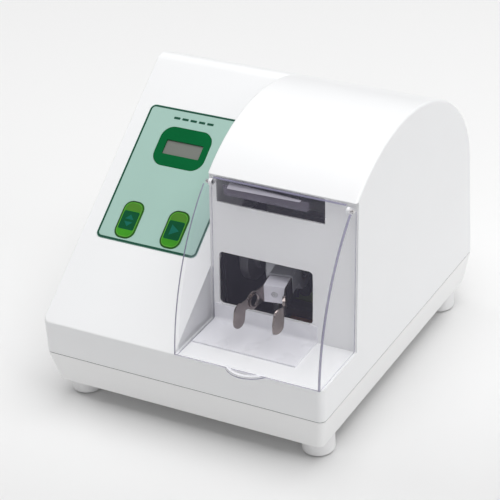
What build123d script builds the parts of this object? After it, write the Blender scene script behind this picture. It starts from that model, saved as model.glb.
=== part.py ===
from build123d import *
from math import asin, cos, degrees, radians, sin, sqrt, tan
import os

# Dental amalgamator. Lengths are millimetres. While the pieces are being made, X runs
# from the left side of the housing, Y from its front face to the rear and Z up from the
# table. The finished pieces move so that the origin lies under the middle of the device.

os.makedirs("parts", exist_ok=True)

# ---- overall housing -------------------------------------------------------------------
housing_width = 205.0
housing_depth = 228.0
housing_height = 187.0
wall = 3.0
band_top = 60.0              # top of the upright band that runs round the front
seam_height = 36.7           # joint between upper housing and tray
seam_gap = 0.5
corner_radius = 4.5          # upright corners at the front
least_radius = 0.4           # corners of the inner walls
side_edge_radius = 1.5       # edges between the sides and the curved top
step_edge_radius = 1.8       # edge of the full-height part beside the slope
apex_y = 128.0               # where the curved top is highest
front_curve_drop = 20.0      # centre of the front curve, below the band's top
rear_curve_drop = 77.0       # centre of the rear curve, below the highest point
slope_angle = 35.5           # label slope, from the horizontal
slope_crown_radius = 10.0
step_x = 100.4               # the full-height right part starts here

# ---- tray and feet ---------------------------------------------------------------------
tray_bottom = 13.4
tray_taper = 10.8
tray_floor_thickness = 3.0
tray_bottom_radius = 1.4
lip_height = 3.0             # ledge of the tray that locates the upper housing
lip_thickness = 1.5
lip_clearance = 0.2
foot_radius = 10.8
foot_inset_x = 15.6
foot_inset_y = 21.2
foot_pad_radius = 8.5
foot_pad_height = 2.2
foot_pad_seat = 1.2          # how far the pad sits in the foot
vent_length = 40.0
vent_width = 3.0
vent_pitch = 7.0
vent_count = 6

# ---- mixing chamber --------------------------------------------------------------------
chamber_wall_y = 48.1        # rear wall of the chamber, at floor level
chamber_wall_tilt = 5.83     # leans back, degrees
window_left = 106.6
window_right = 174.0
window_below_shaft = 17.5
window_above_shaft = 19.0
window_radius = 3.0
slot_left = 105.5
slot_right_inset = 22.8      # from the housing's right side
slot_below_hinge = 15.2
slot_above_hinge = 2.0
slot_radius = 0.8
opening_edge = 1.2           # the wall is thinner than elsewhere round window and slot
opening_relief = 1.5
liner_left = 103.5
liner_right_inset = 27.5     # from the housing's right side
liner_front = 17.5
liner_thickness = 1.2
liner_bend_radius = 2.0

# ---- clear cover and its hinge ---------------------------------------------------------
cover_thickness = 2.2
cover_side_thickness = 2.0
cover_side_gap = 0.5         # beside the step
cover_right_inset = 1.2      # from the housing's right side
cover_proud = 0.6            # stands out of the housing's curve
cover_floor_gap = 0.4
cover_wall_gap = 0.6
hinge_rise = 0.8014          # share of the front curve's height
hinge_wall_distance = 4.1    # in front of the chamber's wall
hinge_pin_radius = 1.2
hinge_pin_clearance = 0.05
hinge_eye_radius = 3.7
hinge_lug_thickness = 2.0
hinge_lug_radius = 2.2
hinge_lug_gap = 0.4
cover_top_gap = 0.7          # under the roof's front edge
cover_corner_radius = 3.0
tab_chord = 30.0
tab_reach = 7.5
tab_thickness = 2.0
tab_x = 152.0
tongue_left = 111.0
tongue_slot_gap = 10.2       # from its right end to the slot's
tongue_thickness = 2.5
tongue_back = 2.5            # its front, behind the hinge
tongue_rise = 0.6            # its top, above the hinge
tongue_drop = 9.3            # its tip, below the hinge
tongue_corner_radius = 3.0

# ---- drive line ------------------------------------------------------------------------
shaft_y = 86.0
shaft_z = 89.5
shaft_radius = 3.0
running_fit = 0.03           # radial play in a bearing
hub_x = 139.0                # centre of the wobble
crank_tilt = 10.0
journal_radius = 6.0
journal_length = 24.0
flywheel_x = 110.8
flywheel_radius = 16.0
flywheel_width = 6.5
flywheel_hub_radius = 7.5
flywheel_hub_width = 4.0
hub_radius = 16.0
hub_length = 22.0
hub_bearing_radius = 10.5
hub_bearing_width = 5.0
hub_rib_radius = 8.6
retainer_thickness = 1.0
arm_width = 16.0
arm_height = 14.0
arm_offset = 3.0             # middle of the arm from the middle of the hub
arm_reach = 27.0
guide_pin_radius = 2.0
guide_pin_reach = 30.0
guide_slot_clearance = 0.4

# ---- capsule clip ----------------------------------------------------------------------
clip_block_width = 14.0
clip_block_height = 12.0
clip_block_front = 40.0      # from the hub's axis
clip_strip = 1.0
clip_screw_sink = 0.1        # its head, below the block's face
clip_strap_height = 11.0
left_prong_splay = 21.5
right_prong_splay = 15.0
prong_straight = 17.5
paddle_turn = 21.0           # both paddles point to the left of the arm
prong_end = 12.0
seat_distance = 9.5          # middle of the capsule seat, from the bend
seat_outer_radius = 6.4
seat_hole_radius = 4.0
seat_rim_height = 0.9
neck_height = 6.4
paddle_width = 10.5
paddle_length = 17.0
paddle_drop = 4.5
paddle_middle = 6.2          # beyond the neck

# ---- motor -----------------------------------------------------------------------------
motor_radius = 21.0
motor_length = 62.0
motor_can_thickness = 1.2
motor_boss_radius = 8.5
motor_boss_length = 4.5
motor_face_x = 104.0
motor_cap_length = 6.0
motor_bearing_radius = 6.5
motor_bearing_width = 4.5
rotor_radius = 15.0
rotor_length = 40.0
magnet_thickness = 4.0
commutator_radius = 5.5
commutator_length = 7.0
bracket_thickness = 2.5
bracket_front = 60.0
bracket_rear = 118.0
bracket_top = 114.0
bracket_foot_length = 26.0
mount_height = 5.0
mount_radius = 6.0
mount_inset = 7.0

# ---- outboard bearing and guide --------------------------------------------------------
pillar_x = 162.0
pillar_thickness = 8.0
pillar_width = 24.0
pillar_foot_length = 10.0
pillar_foot_thickness = 4.0
outboard_bearing_radius = 6.5
outboard_bearing_width = 5.0
guide_front = 109.0
guide_thickness = 5.0
guide_height = 15.0
guide_end_x = 153.0
guide_slot_length = 18.0

# ---- label, keys and display, along the slope ------------------------------------------
label_left = 11.5
label_right = 88.0
label_low = 65.5             # distance up the slope
label_high = 167.5
label_radius = 4.0
label_thickness = 0.6
label_recess = 0.4
label_fit = 0.15
key_width = 15.0
key_corner_radius = 6.0
key_height = 27.0
key_middle = 82.0
left_key_x = 31.0
right_key_x = 65.7
key_gap = 0.3
key_top = 0.5                # above the housing's surface
key_flange_width = 0.6        # rim of a key, under the label
key_flange_thickness = 0.4
key_travel = 0.35
key_edge_radius = 0.3
key_pocket_depth = 2.2
circuit_thickness = 0.3
dome_radius = 5.0
dome_height = 0.4
dome_thickness = 0.15
bezel_left = 27.7
bezel_right = 66.4
bezel_low = 124.7
bezel_high = 154.0
bezel_radius = 9.0
bezel_thickness = 1.0
display_left = 33.5
display_right = 61.5
display_low = 133.4
display_high = 144.0
display_margin = 2.5
glass_thickness = 2.8
board_thickness = 1.6
control_board_depth = 5.6    # below the outer surface
control_board_left = 15.0
control_board_right = 84.0
control_board_low = 119.0
control_board_high = 162.0
board_post_radius = 2.8
board_post_inset = 4.0
chip_length = 14.0
chip_width = 8.0
chip_height = 2.4
buzzer_radius = 6.0
buzzer_height = 7.0

# ---- power board -----------------------------------------------------------------------
power_board_y = 112.0
power_board_left = 114.0
power_board_right = 176.0
power_board_bottom = 20.0
power_board_top = 77.0
core_width = 36.0
core_height = 24.0
core_depth = 11.0
winding_overhang = 4.0
transformer_x = 141.0
transformer_z = 35.0
sink_x = 124.0
sink_z = 60.0
fin_count = 5
fin_pitch = 3.5
fin_thickness = 1.2
fin_length = 9.0
sink_width = 18.0
sink_base = 2.0
sink_height = 20.0
triac_size = 10.0
triac_thickness = 4.4
capacitor_radius = 5.0
capacitor_length = 16.0
capacitor_pitch = 13.0
terminal_ways = 5
terminal_width = 25.0
terminal_height = 10.0
terminal_depth = 9.0
terminal_z = 28.0
edge_bracket_thickness = 2.0
edge_bracket_width = 12.0
edge_bracket_height = 14.0

# ---- interlock switch ------------------------------------------------------------------
switch_slot_inset = 0.8      # its right side, from the slot's end
switch_width = 19.8
switch_height = 10.2
switch_depth = 6.4
switch_drop = 5.8            # below the hinge
switch_front_gap = 2.4       # behind the chamber wall
switch_bracket_height = 20.0
switch_bracket_thickness = 1.5
switch_boss_radius = 2.6
switch_boss_distance = 4.5   # to the right of the slot
switch_bracket_margin = 3.0
switch_screw_bite = 3.9
plunger_inset = 5.5          # from the tongue's right end
plunger_drop = 7.3           # below the hinge
plunger_radius = 1.2
plunger_gap = 0.3
plunger_travel = 1.5
plunger_fit = 0.05

# ---- rear fittings ---------------------------------------------------------------------
inlet_x = 152.0
inlet_z = 72.0
inlet_width = 50.0
inlet_height = 28.0
inlet_flange = 3.0
inlet_body_width = 38.0
inlet_body_height = 22.0
inlet_body_depth = 24.0
socket_width = 24.0
socket_height = 16.6
socket_depth = 16.0
socket_offset = 6.0
inlet_pin_length = 13.0
inlet_pin_thickness = 2.0
inlet_pin_width = 4.0
inlet_pin_pitch = 7.0
drawer_width = 8.0
drawer_height = 18.0
drawer_depth = 20.0
drawer_offset = 13.0
drawer_clearance = 0.3
fuse_radius = 2.5
fuse_length = 16.0
rocker_x = 96.0
rocker_z = 72.0
rocker_flange_width = 15.0
rocker_flange_height = 21.0
rocker_flange = 2.0
rocker_body_depth = 16.0
rocker_pin_radius = 1.2
rocker_pin_reach = 1.2       # beyond each side of the rocker
rocker_width = 9.0
rocker_height = 14.0
rocker_throw = 20.0
rocker_clearance = 0.35
rocker_swing_room = 1.3      # more room above and below, where the rocker's ends swing
rear_vent_left = 30.0
rear_vent_drop = 6.0         # middle of the slots, below the centre of the rear curve
rear_vent_pitch = 5.0

# ---- fasteners and wires ---------------------------------------------------------------
screw_radius = 1.5
screw_head_radius = 2.8
screw_head_height = 2.2
screw_hole_clearance = 0.2
small_screw_radius = 1.0
small_head_radius = 2.0
small_head_height = 1.4
boss_radius = 4.5
boss_inset_x = 12.0
boss_front_y = 43.0
boss_rear_y = 190.0
wire_radius = 0.9
wire_bend = 3.5              # inside the bends of a lead
lead_pitch = 5.0             # between leads that run side by side
lead_loop = 10.0             # shortest loop behind the mains inlet

# ---- sizes that follow -----------------------------------------------------------------
front_curve_centre_z = band_top - front_curve_drop
rear_curve_centre_z = housing_height - rear_curve_drop
front_curve_half_z = housing_height - front_curve_centre_z
band_ratio = (band_top - front_curve_centre_z) / front_curve_half_z
front_curve_half_y = apex_y / sqrt(1 - band_ratio**2)
rear_curve_half_y = housing_depth - apex_y
rear_curve_half_z = housing_height - rear_curve_centre_z
tray_top = seam_height - seam_gap
tray_floor_top = tray_bottom + tray_floor_thickness
chamber_lean = tan(radians(chamber_wall_tilt))
chamber_wall_through = wall / cos(radians(chamber_wall_tilt))
hinge_z = front_curve_centre_z + hinge_rise * front_curve_half_z
hinge_y = chamber_wall_y + (hinge_z - band_top) * chamber_lean - hinge_wall_distance
chamber_top = hinge_z + hinge_eye_radius + cover_top_gap
slot_right = housing_width - slot_right_inset
liner_right = housing_width - liner_right_inset
tongue_right = slot_right - tongue_slot_gap
tongue_rear_y = hinge_y + tongue_back + tongue_thickness
switch_right = slot_right - switch_slot_inset
plunger_x = tongue_right - plunger_inset
slot_bottom = hinge_z - slot_below_hinge
slot_top = hinge_z + slot_above_hinge
switch_middle_z = hinge_z - switch_drop
plunger_z = hinge_z - plunger_drop
window_bottom = shaft_z - window_below_shaft
window_top = shaft_z + window_above_shaft
far = 600.0                  # longer than anything here, for cutting blocks
cover_left = step_x + cover_side_gap
cover_right = housing_width - cover_right_inset
motor_rear_x = motor_face_x - motor_length
bracket_x = motor_face_x
bracket_right = bracket_x + bracket_thickness
mount_floor = tray_floor_top
bracket_foot_z = mount_floor + mount_height
shaft_left = motor_rear_x - motor_cap_length + 2.0
shaft_right = pillar_x + pillar_thickness + 1.5

slope = Plane(origin=(0, 0, band_top), x_dir=(1, 0, 0),
              z_dir=(0, -sin(radians(slope_angle)), cos(radians(slope_angle))))
hub_frame = Pos(hub_x, shaft_y, shaft_z) * Rot(0, 0, crank_tilt)


# ---- helpers ---------------------------------------------------------------------------
def block(x0, x1, y0, y1, z0, z1):
    middle = Pos((x0 + x1) / 2, (y0 + y1) / 2, (z0 + z1) / 2)
    return middle * Box(x1 - x0, y1 - y0, z1 - z0)


def rod_x(radius, x0, x1, y, z):
    return Pos((x0 + x1) / 2, y, z) * Rot(0, 90, 0) * Cylinder(radius, x1 - x0)


def rod_y(radius, x, y0, y1, z):
    return Pos(x, (y0 + y1) / 2, z) * Rot(90, 0, 0) * Cylinder(radius, y1 - y0)


def rod_z(radius, x, y, z0, z1):
    return Pos(x, y, (z0 + z1) / 2) * Cylinder(radius, z1 - z0)


def side_prism(face, x0, x1):
    """A face drawn in (y, z), made solid from x0 to x1."""
    return extrude(Plane.YZ.offset(x0) * face, x1 - x0)


def upright_plate(x0, x1, z0, z1, radius, y0, y1):
    """A plate with rounded corners that faces front and rear."""
    middle = Pos((x0 + x1) / 2, y1, (z0 + z1) / 2) * Rot(90, 0, 0)
    return middle * extrude(RectangleRounded(x1 - x0, z1 - z0, radius), y1 - y0)


def slope_plate(x0, x1, low, high, radius, depth, top):
    """A plate with rounded corners in the label slope; depth and top are from its surface."""
    middle = slope * Pos((x0 + x1) / 2, (low + high) / 2, depth)
    return middle * extrude(RectangleRounded(x1 - x0, high - low, radius), top - depth)


def slope_rod(radius, x, distance, depth, top):
    return slope * Pos(x, distance, (depth + top) / 2) * Cylinder(radius, top - depth)


def polygon(*corners):
    return make_face(Polyline(*corners, close=True))


def screw(radius, head_radius, head_height, length):
    """Pan head above z = 0 with a cross recess, and shank below."""
    head = Pos(0, 0, head_height / 2) * Cylinder(head_radius, head_height)
    head = fillet(head.edges().sort_by(Axis.Z)[-1], head_height * 0.4)
    slot_length = head_radius * 1.2
    slot_width = head_radius * 0.3
    recess = Box(slot_length, slot_width, head_height) + Box(slot_width, slot_length, head_height)
    shank = Pos(0, 0, -length / 2) * Cylinder(radius, length)
    return head + shank - Pos(0, 0, head_height) * recess


def big_screw(length):
    return screw(screw_radius, screw_head_radius, screw_head_height, length)


def small_screw(length):
    return screw(small_screw_radius, small_head_radius, small_head_height, length)


def chamber_wall_at(z):
    return chamber_wall_y + (z - band_top) * chamber_lean


# ---- housing ---------------------------------------------------------------------------
def housing_outline(inset, bottom):
    """Side view of the right part, as (y, z), pulled in by a wall."""
    front_half_y = front_curve_half_y - inset
    front_half_z = front_curve_half_z - inset
    start = degrees(asin(sqrt(1 - ((apex_y - inset) / front_half_y) ** 2)))
    front = EllipticalCenterArc((apex_y, front_curve_centre_z), front_half_y, front_half_z,
                                start_angle=90, arc_size=90 - start)
    rear = EllipticalCenterArc((apex_y, rear_curve_centre_z), rear_curve_half_y - inset,
                               rear_curve_half_z - inset, start_angle=0, arc_size=90)
    rear_foot = (housing_depth - inset, bottom)
    front_foot = (inset, bottom)
    straights = [Line(rear @ 0, rear_foot), Line(rear_foot, front_foot), Line(front_foot, front @ 1)]
    return make_face(Curve() + [front, rear, *straights])


def slope_outline(inset, bottom):
    """Side view of the left part, which the label slope cuts down."""
    down = inset / cos(radians(slope_angle))
    rise = far * tan(radians(slope_angle))
    above = polygon((-far, band_top - down - rise), (far, band_top - down + rise), (-far, far))
    outline = housing_outline(inset, bottom) - above
    crown = outline.vertices().sort_by(Axis.Y)[-1]
    return fillet(crown, slope_crown_radius - inset)


def chamber_space(grow, left, right):
    """The open chamber in front of its leaning wall, grown by a wall for the shell round it."""
    through = grow / cos(radians(chamber_wall_tilt))
    floor = band_top - grow
    top = chamber_top + grow
    outline = polygon((-far, floor), (chamber_wall_at(floor) + through, floor),
                      (chamber_wall_at(top) + through, top), (-far, top))
    return side_prism(outline, left - grow, right)


def plan_face(inset, z, rear_radius):
    """The plan of the housing pulled in by inset, with larger corners at the front."""
    face = Rectangle(housing_width - 2 * inset, housing_depth - 2 * inset)
    face = fillet(face.vertices().group_by(Axis.Y)[0], max(corner_radius - inset, least_radius))
    if rear_radius > 0:
        face = fillet(face.vertices().group_by(Axis.Y)[-1], max(rear_radius - inset, least_radius))
    return Pos(housing_width / 2, housing_depth / 2, z) * face


def round_plan(inset, z0, z1):
    return extrude(plan_face(inset, z0, side_edge_radius), z1 - z0)


def top_edges(form, side_x):
    """The edges that run along one side of the curved top, its corners included."""
    edges = []
    for edge in form.edges():
        limits = edge.bounding_box()
        reach = max(abs(limits.min.X - side_x), abs(limits.max.X - side_x))
        upright = abs((edge % 0.5).Z) > 0.999
        if reach < corner_radius + 0.01 and edge.center().Z > band_top + 0.5 and not upright:
            edges.append(edge)
    return edges


def make_outer_form():
    plan = extrude(plan_face(0, seam_height, 0), housing_height)
    left = side_prism(slope_outline(0, seam_height), 0, step_x + step_edge_radius) & plan
    left = fillet(top_edges(left, 0), side_edge_radius)
    right = side_prism(housing_outline(0, seam_height), step_x, housing_width) & plan
    step_edges = right.faces().sort_by(Axis.X)[0].edges().filter_by(GeomType.ELLIPSE)
    right = fillet(step_edges, step_edge_radius)
    right = fillet(top_edges(right, housing_width), side_edge_radius)
    return left + right


def make_cavity():
    bottom = seam_height - 1
    left = side_prism(slope_outline(wall, bottom), wall, step_x + wall)
    right = side_prism(housing_outline(wall, bottom), step_x + wall, housing_width - wall)
    return left + right - chamber_space(wall, step_x, housing_width)


def screw_places():
    """The four screws that hold the tray to the upper housing, as (x, y)."""
    across = (boss_inset_x, housing_width - boss_inset_x)
    return [(x, y) for y in (boss_front_y, boss_rear_y) for x in across]


def make_housing_bosses():
    bosses = []
    for x, y in screw_places():
        side = 0 if x < housing_width / 2 else housing_width
        bosses.append(rod_z(boss_radius, x, y, seam_height, band_top - 1))
        web_left, web_right = sorted((x, side + (wall - 0.5) * (1 if side == 0 else -1)))
        bosses.append(block(web_left, web_right, y - 1, y + 1, seam_height + lip_height + 0.5, band_top - 1))
    return bosses


def board_posts():
    """Where the display board is screwed to the underside of the slope, as (x, distance)."""
    inset = board_post_inset
    across = (control_board_left + inset, control_board_right - inset)
    along = (control_board_low + inset, control_board_high - inset)
    return [(x, distance) for distance in along for x in across]


def switch_screws():
    """The two screws from the bracket into the interlock switch, as (x, z)."""
    middle = switch_right - switch_width / 2
    z = switch_middle_z + switch_height / 4
    return [(middle - switch_width * 0.38, z), (middle + switch_width * 0.38, z)]


def switch_bracket_screws():
    """The two screws that hold the switch bracket, to the right of the slot, as (x, z)."""
    x = slot_right + switch_boss_distance
    offset = switch_bracket_height / 2 - switch_bracket_margin
    return [(x, switch_middle_z - offset), (x, switch_middle_z + offset)]


def make_label_cuts():
    pocket_margin = key_flange_width + key_gap
    cuts = [slope_plate(label_left - label_fit, label_right + label_fit, label_low - label_fit,
                        label_high + label_fit, label_radius, -label_recess, 1.0)]
    for x in (left_key_x, right_key_x):
        cuts.append(slope_plate(x - key_width / 2 - pocket_margin, x + key_width / 2 + pocket_margin,
                                key_middle - key_height / 2 - pocket_margin,
                                key_middle + key_height / 2 + pocket_margin,
                                key_corner_radius + pocket_margin, -key_pocket_depth, 1.0))
    tail_x = (left_key_x + right_key_x) / 2
    cuts.append(slope_plate(left_key_x, right_key_x, key_middle - 2, key_middle + 2, 1.0, -key_pocket_depth, 1.0))
    cuts.append(slope_plate(tail_x - 8, tail_x + 8, key_middle - 2, key_middle + 2, 1.0, -wall - 2, 1.0))
    cuts.append(slope_plate(bezel_left - label_fit, bezel_right + label_fit, bezel_low - label_fit,
                            bezel_high + label_fit, bezel_radius, -bezel_thickness + 0.2, 1.0))
    cuts.append(slope_plate(display_left - display_margin - 0.5, display_right + display_margin + 0.5,
                            display_low - display_margin - 0.5, display_high + display_margin + 0.5,
                            1.0, -wall - 2, 1.0))
    return cuts


def wall_opening(left, right, bottom, top, radius):
    """A cut through the chamber's wall, wider behind so that little of its edge shows."""
    front = chamber_wall_at(bottom) - wall
    rear = chamber_wall_at(top) + 2 * wall
    grow = opening_relief
    behind = upright_plate(left - grow, right + grow, bottom - grow, top + grow, radius + grow, front, rear)
    behind = behind - chamber_space(opening_edge, step_x, housing_width + 1)
    return behind + upright_plate(left, right, bottom, top, radius, front, rear)


def make_upper_housing():
    shell = make_outer_form() - chamber_space(0, step_x, housing_width + 1) - make_cavity()
    window = wall_opening(window_left, window_right, window_bottom, window_top, window_radius)
    slot = wall_opening(slot_left, slot_right, slot_bottom, slot_top, slot_radius)
    shell = shell - [window, slot] - make_label_cuts()
    additions = make_housing_bosses() + make_hinge_lugs()
    for x, distance in board_posts():
        additions.append(slope_rod(board_post_radius, x, distance, -control_board_depth, -wall + 0.5))
    for x, z in switch_bracket_screws():
        additions.append(rod_y(switch_boss_radius, x, chamber_wall_at(z) + 1, switch_rear(), z))
    shell = shell + additions
    holes = [rod_z(screw_radius, x, y, seam_height - 1, seam_height + 16) for x, y in screw_places()]
    for x, distance in board_posts():
        holes.append(slope_rod(small_screw_radius, x, distance, -control_board_depth - 1, -1.2))
    for x, z in switch_bracket_screws():
        holes.append(rod_y(small_screw_radius, x, switch_rear() - switch_screw_bite, switch_rear() + 1, z))
    holes.append(rod_x(hinge_pin_radius, cover_left + cover_side_thickness,
                       cover_right - cover_side_thickness, hinge_y, hinge_z))
    holes += make_rear_openings()
    return shell - holes


def make_hinge_lugs():
    """A small ear beside each side of the cover, on the chamber's wall."""
    wall_y = chamber_wall_at(hinge_z)
    lugs = []
    for x0 in (cover_left + cover_side_thickness + hinge_lug_gap,
               cover_right - cover_side_thickness - hinge_lug_gap - hinge_lug_thickness):
        x1 = x0 + hinge_lug_thickness
        eye = rod_x(hinge_lug_radius, x0, x1, hinge_y, hinge_z)
        web = block(x0, x1, hinge_y, wall_y + 1, hinge_z - hinge_lug_radius, hinge_z)
        lugs.append(eye + web)
    return lugs


# ---- tray and feet ---------------------------------------------------------------------
def tray_form(top, inset):
    """The tapered form of the tray from its floor up, pulled in by inset."""
    spread = (top - tray_bottom) * tan(radians(tray_taper))
    upper = plan_face(inset, 0, side_edge_radius)
    lower = Rectangle(housing_width - 2 * (inset + spread), housing_depth - 2 * (inset + spread))
    lower = fillet(lower.vertices().group_by(Axis.Y)[0], max(corner_radius - inset, least_radius))
    lower = fillet(lower.vertices().group_by(Axis.Y)[-1], max(side_edge_radius - inset, least_radius))
    lower = Pos(housing_width / 2, housing_depth / 2, tray_bottom) * lower
    return loft([Pos(0, 0, top) * upper, lower])


def foot_places():
    across = (foot_inset_x, housing_width - foot_inset_x)
    along = (foot_inset_y, housing_depth - foot_inset_y)
    return [(x, y) for y in along for x in across]


def base_stations():
    """Where machinery is screwed down to the tray, as (x, y)."""
    return bracket_mounts() + pillar_screws()


def make_base_tray():
    outer = tray_form(tray_top, 0)
    bottom_edges = outer.edges().group_by(Axis.Z)[0]
    outer = fillet(bottom_edges, tray_bottom_radius)
    hollow = tray_form(tray_top + 1, wall) & block(0, housing_width, 0, housing_depth, tray_floor_top, far)
    lip_outside = wall + lip_clearance
    lip = round_plan(lip_outside, tray_top - 1.5, tray_top + seam_gap + lip_height)
    lip = lip - round_plan(lip_outside + lip_thickness, tray_top - 5, tray_top + 10)
    ledge = round_plan(wall - 0.6, tray_top - 3.5, tray_top - 1.0)
    ledge = ledge - round_plan(lip_outside + lip_thickness, tray_top - 5, tray_top + 10)
    tray = outer - hollow + (ledge & outer) + lip
    posts = [rod_z(boss_radius, x, y, tray_bottom + 1, tray_top) for x, y in screw_places()]
    for x, y in screw_places():
        posts.append(rod_z(boss_radius, x, y, tray_top - 0.5, seam_height))
    tray = tray + posts
    holes = []
    for x, y in screw_places():
        holes.append(rod_z(screw_radius + screw_hole_clearance, x, y, tray_bottom - 1, seam_height + 1))
        holes.append(rod_z(screw_head_radius + 0.4, x, y, tray_bottom - 1, tray_bottom + 4))
    holes += [rod_z(screw_radius, x, y, tray_bottom - 1, tray_floor_top + 1) for x, y in foot_places()]
    holes += [rod_z(screw_radius, x, y, tray_bottom - 1, tray_floor_top + 1) for x, y in base_stations()]
    middle_y = housing_depth * 0.72
    for n in range(vent_count):
        y = middle_y + (n - (vent_count - 1) / 2) * vent_pitch
        slot = Pos(housing_width / 2, y, tray_bottom) * SlotOverall(vent_length, vent_width)
        holes.append(extrude(slot, wall * 3, both=True))
    return tray - holes


def make_feet():
    feet = []
    for x, y in foot_places():
        foot = rod_z(foot_radius, x, y, foot_pad_height - foot_pad_seat, tray_bottom)
        foot = fillet(foot.edges().sort_by(Axis.Z)[0], 1.0)
        seat = rod_z(foot_pad_radius, x, y, 0, foot_pad_height)
        head_room = rod_z(screw_head_radius + 0.3, x, y, 0, foot_screw_seat())
        hole = rod_z(screw_radius + screw_hole_clearance, x, y, 0, tray_bottom + 1)
        feet.append(foot - seat - head_room - hole)
    return feet


def foot_screw_seat():
    return foot_pad_height + screw_head_height + 0.6


def make_foot_pads():
    pads = []
    for x, y in foot_places():
        pad = rod_z(foot_pad_radius, x, y, 0, foot_pad_height)
        pads.append(fillet(pad.edges().sort_by(Axis.Z)[0], 0.5))
    return pads


def make_foot_screws():
    length = tray_floor_top - foot_screw_seat()
    return [Pos(x, y, foot_screw_seat()) * Rot(180, 0, 0) * big_screw(length) for x, y in foot_places()]


def make_housing_screws():
    seat = tray_bottom + 4
    length = seam_height + 14 - seat
    return [Pos(x, y, seat) * Rot(180, 0, 0) * big_screw(length) for x, y in screw_places()]


# ---- chamber liner ---------------------------------------------------------------------
def make_chamber_liner():
    """The lift-out tray: a floor that turns up the leaning wall as far as the window."""
    floor = band_top
    foot_y = chamber_wall_at(floor)
    top_y = chamber_wall_at(window_bottom)
    lean = radians(chamber_wall_tilt)
    side = polygon((liner_front, floor), (foot_y, floor), (top_y, window_bottom),
                   (top_y - liner_thickness / cos(lean), window_bottom),
                   (foot_y - liner_thickness, floor + liner_thickness),
                   (liner_front, floor + liner_thickness))
    liner = side_prism(side, liner_left, liner_right)
    bends = [edge for edge in liner.edges().filter_by(Axis.X)
             if abs(edge.center().Y - foot_y) < liner_thickness * 1.5 and edge.center().Z < floor + 3]
    inner = [edge for edge in bends if edge.center().Z > floor + liner_thickness / 2]
    return fillet(inner, liner_bend_radius)


# ---- label, keys and display -----------------------------------------------------------
def make_label_panel():
    panel = slope_plate(label_left, label_right, label_low, label_high, label_radius,
                        -label_recess, label_thickness - label_recess)
    cuts = []
    for x in (left_key_x, right_key_x):
        cuts.append(slope_plate(x - key_width / 2 - key_gap, x + key_width / 2 + key_gap,
                                key_middle - key_height / 2 - key_gap,
                                key_middle + key_height / 2 + key_gap,
                                key_corner_radius + key_gap, -1, 1))
    cuts.append(slope_plate(bezel_left - label_fit, bezel_right + label_fit, bezel_low - label_fit,
                            bezel_high + label_fit, bezel_radius, -2, 2))
    return panel - cuts


def make_key(x):
    """A key cap whose rim lies under the label; it stands one travel above its dome."""
    bottom = -key_pocket_depth + circuit_thickness + dome_height + key_travel + 0.05
    half_width = key_width / 2
    half_height = key_height / 2
    cap = slope_plate(x - half_width, x + half_width, key_middle - half_height,
                      key_middle + half_height, key_corner_radius, bottom, key_top)
    top_face = cap.faces().sort_by(Axis(origin=(0, 0, 0), direction=slope.z_dir))[-1]
    cap = fillet(top_face.edges(), key_edge_radius)
    rim = key_flange_width
    return cap + slope_plate(x - half_width - rim, x + half_width + rim, key_middle - half_height - rim,
                             key_middle + half_height + rim, key_corner_radius + rim, bottom,
                             bottom + key_flange_thickness)


def make_membrane_circuit():
    floor = -key_pocket_depth
    top = floor + circuit_thickness
    pads = [slope_plate(x - key_width / 2, x + key_width / 2, key_middle - key_height / 2,
                        key_middle + key_height / 2, key_corner_radius, floor, top)
            for x in (left_key_x, right_key_x)]
    link = slope_plate(left_key_x, right_key_x, key_middle - 1.6, key_middle + 1.6, 0.8, floor, top)
    return pads[0] + pads[1] + link


def make_snap_domes():
    base = -key_pocket_depth + circuit_thickness
    ball = (dome_radius**2 + dome_height**2) / (2 * dome_height)
    domes = []
    for x in (left_key_x, right_key_x):
        outside = Pos(0, 0, dome_height - ball) * Sphere(ball)
        inside = Pos(0, 0, dome_height - dome_thickness - ball) * Sphere(ball)
        cap = (outside - inside) & (Pos(0, 0, dome_height) * Cylinder(dome_radius, 2 * dome_height))
        domes.append(slope * Pos(x, key_middle, base) * cap)
    return domes


def make_display_bezel():
    ring = slope_plate(bezel_left, bezel_right, bezel_low, bezel_high, bezel_radius,
                       -bezel_thickness + 0.2, 0.2)
    return ring - slope_plate(display_left, display_right, display_low, display_high, 0.6, -2, 2)


def make_display_glass():
    top = -bezel_thickness + 0.2
    return slope_plate(display_left - display_margin, display_right + display_margin,
                       display_low - display_margin, display_high + display_margin, 0.6,
                       top - glass_thickness, top)


def make_control_board():
    top = -control_board_depth
    board = slope_plate(control_board_left, control_board_right, control_board_low,
                        control_board_high, 1.0, top - board_thickness, top)
    holes = [slope_rod(small_screw_radius + screw_hole_clearance, x, distance, top - 3, top + 1)
             for x, distance in board_posts()]
    return board - holes


def make_control_board_screws():
    under = -control_board_depth - board_thickness
    screws = []
    for x, distance in board_posts():
        place = slope * Pos(x, distance, under) * Rot(180, 0, 0)
        screws.append(place * small_screw(board_thickness + control_board_depth - wall + 1.2))
    return screws


def make_display_holder():
    """The frame that stands on the board and carries the display glass."""
    bottom = -control_board_depth
    top = -bezel_thickness + 0.2 - glass_thickness
    frame = slope_plate(display_left - display_margin, display_right + display_margin,
                        display_low - display_margin, display_high + display_margin, 0.6, bottom, top)
    return frame - slope_plate(display_left, display_right, display_low, display_high, 0.6,
                               bottom - 1, top + 1)


def make_control_chips():
    under = -control_board_depth - board_thickness
    middle_x = (control_board_left + control_board_right) / 2
    middle = (control_board_low + control_board_high) / 2
    chips = []
    for x in (middle_x - chip_length, middle_x + chip_length):
        chips.append(slope_plate(x - chip_length / 2, x + chip_length / 2, middle - chip_width / 2,
                                 middle + chip_width / 2, 0.4, under - chip_height, under))
    return chips


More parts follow.
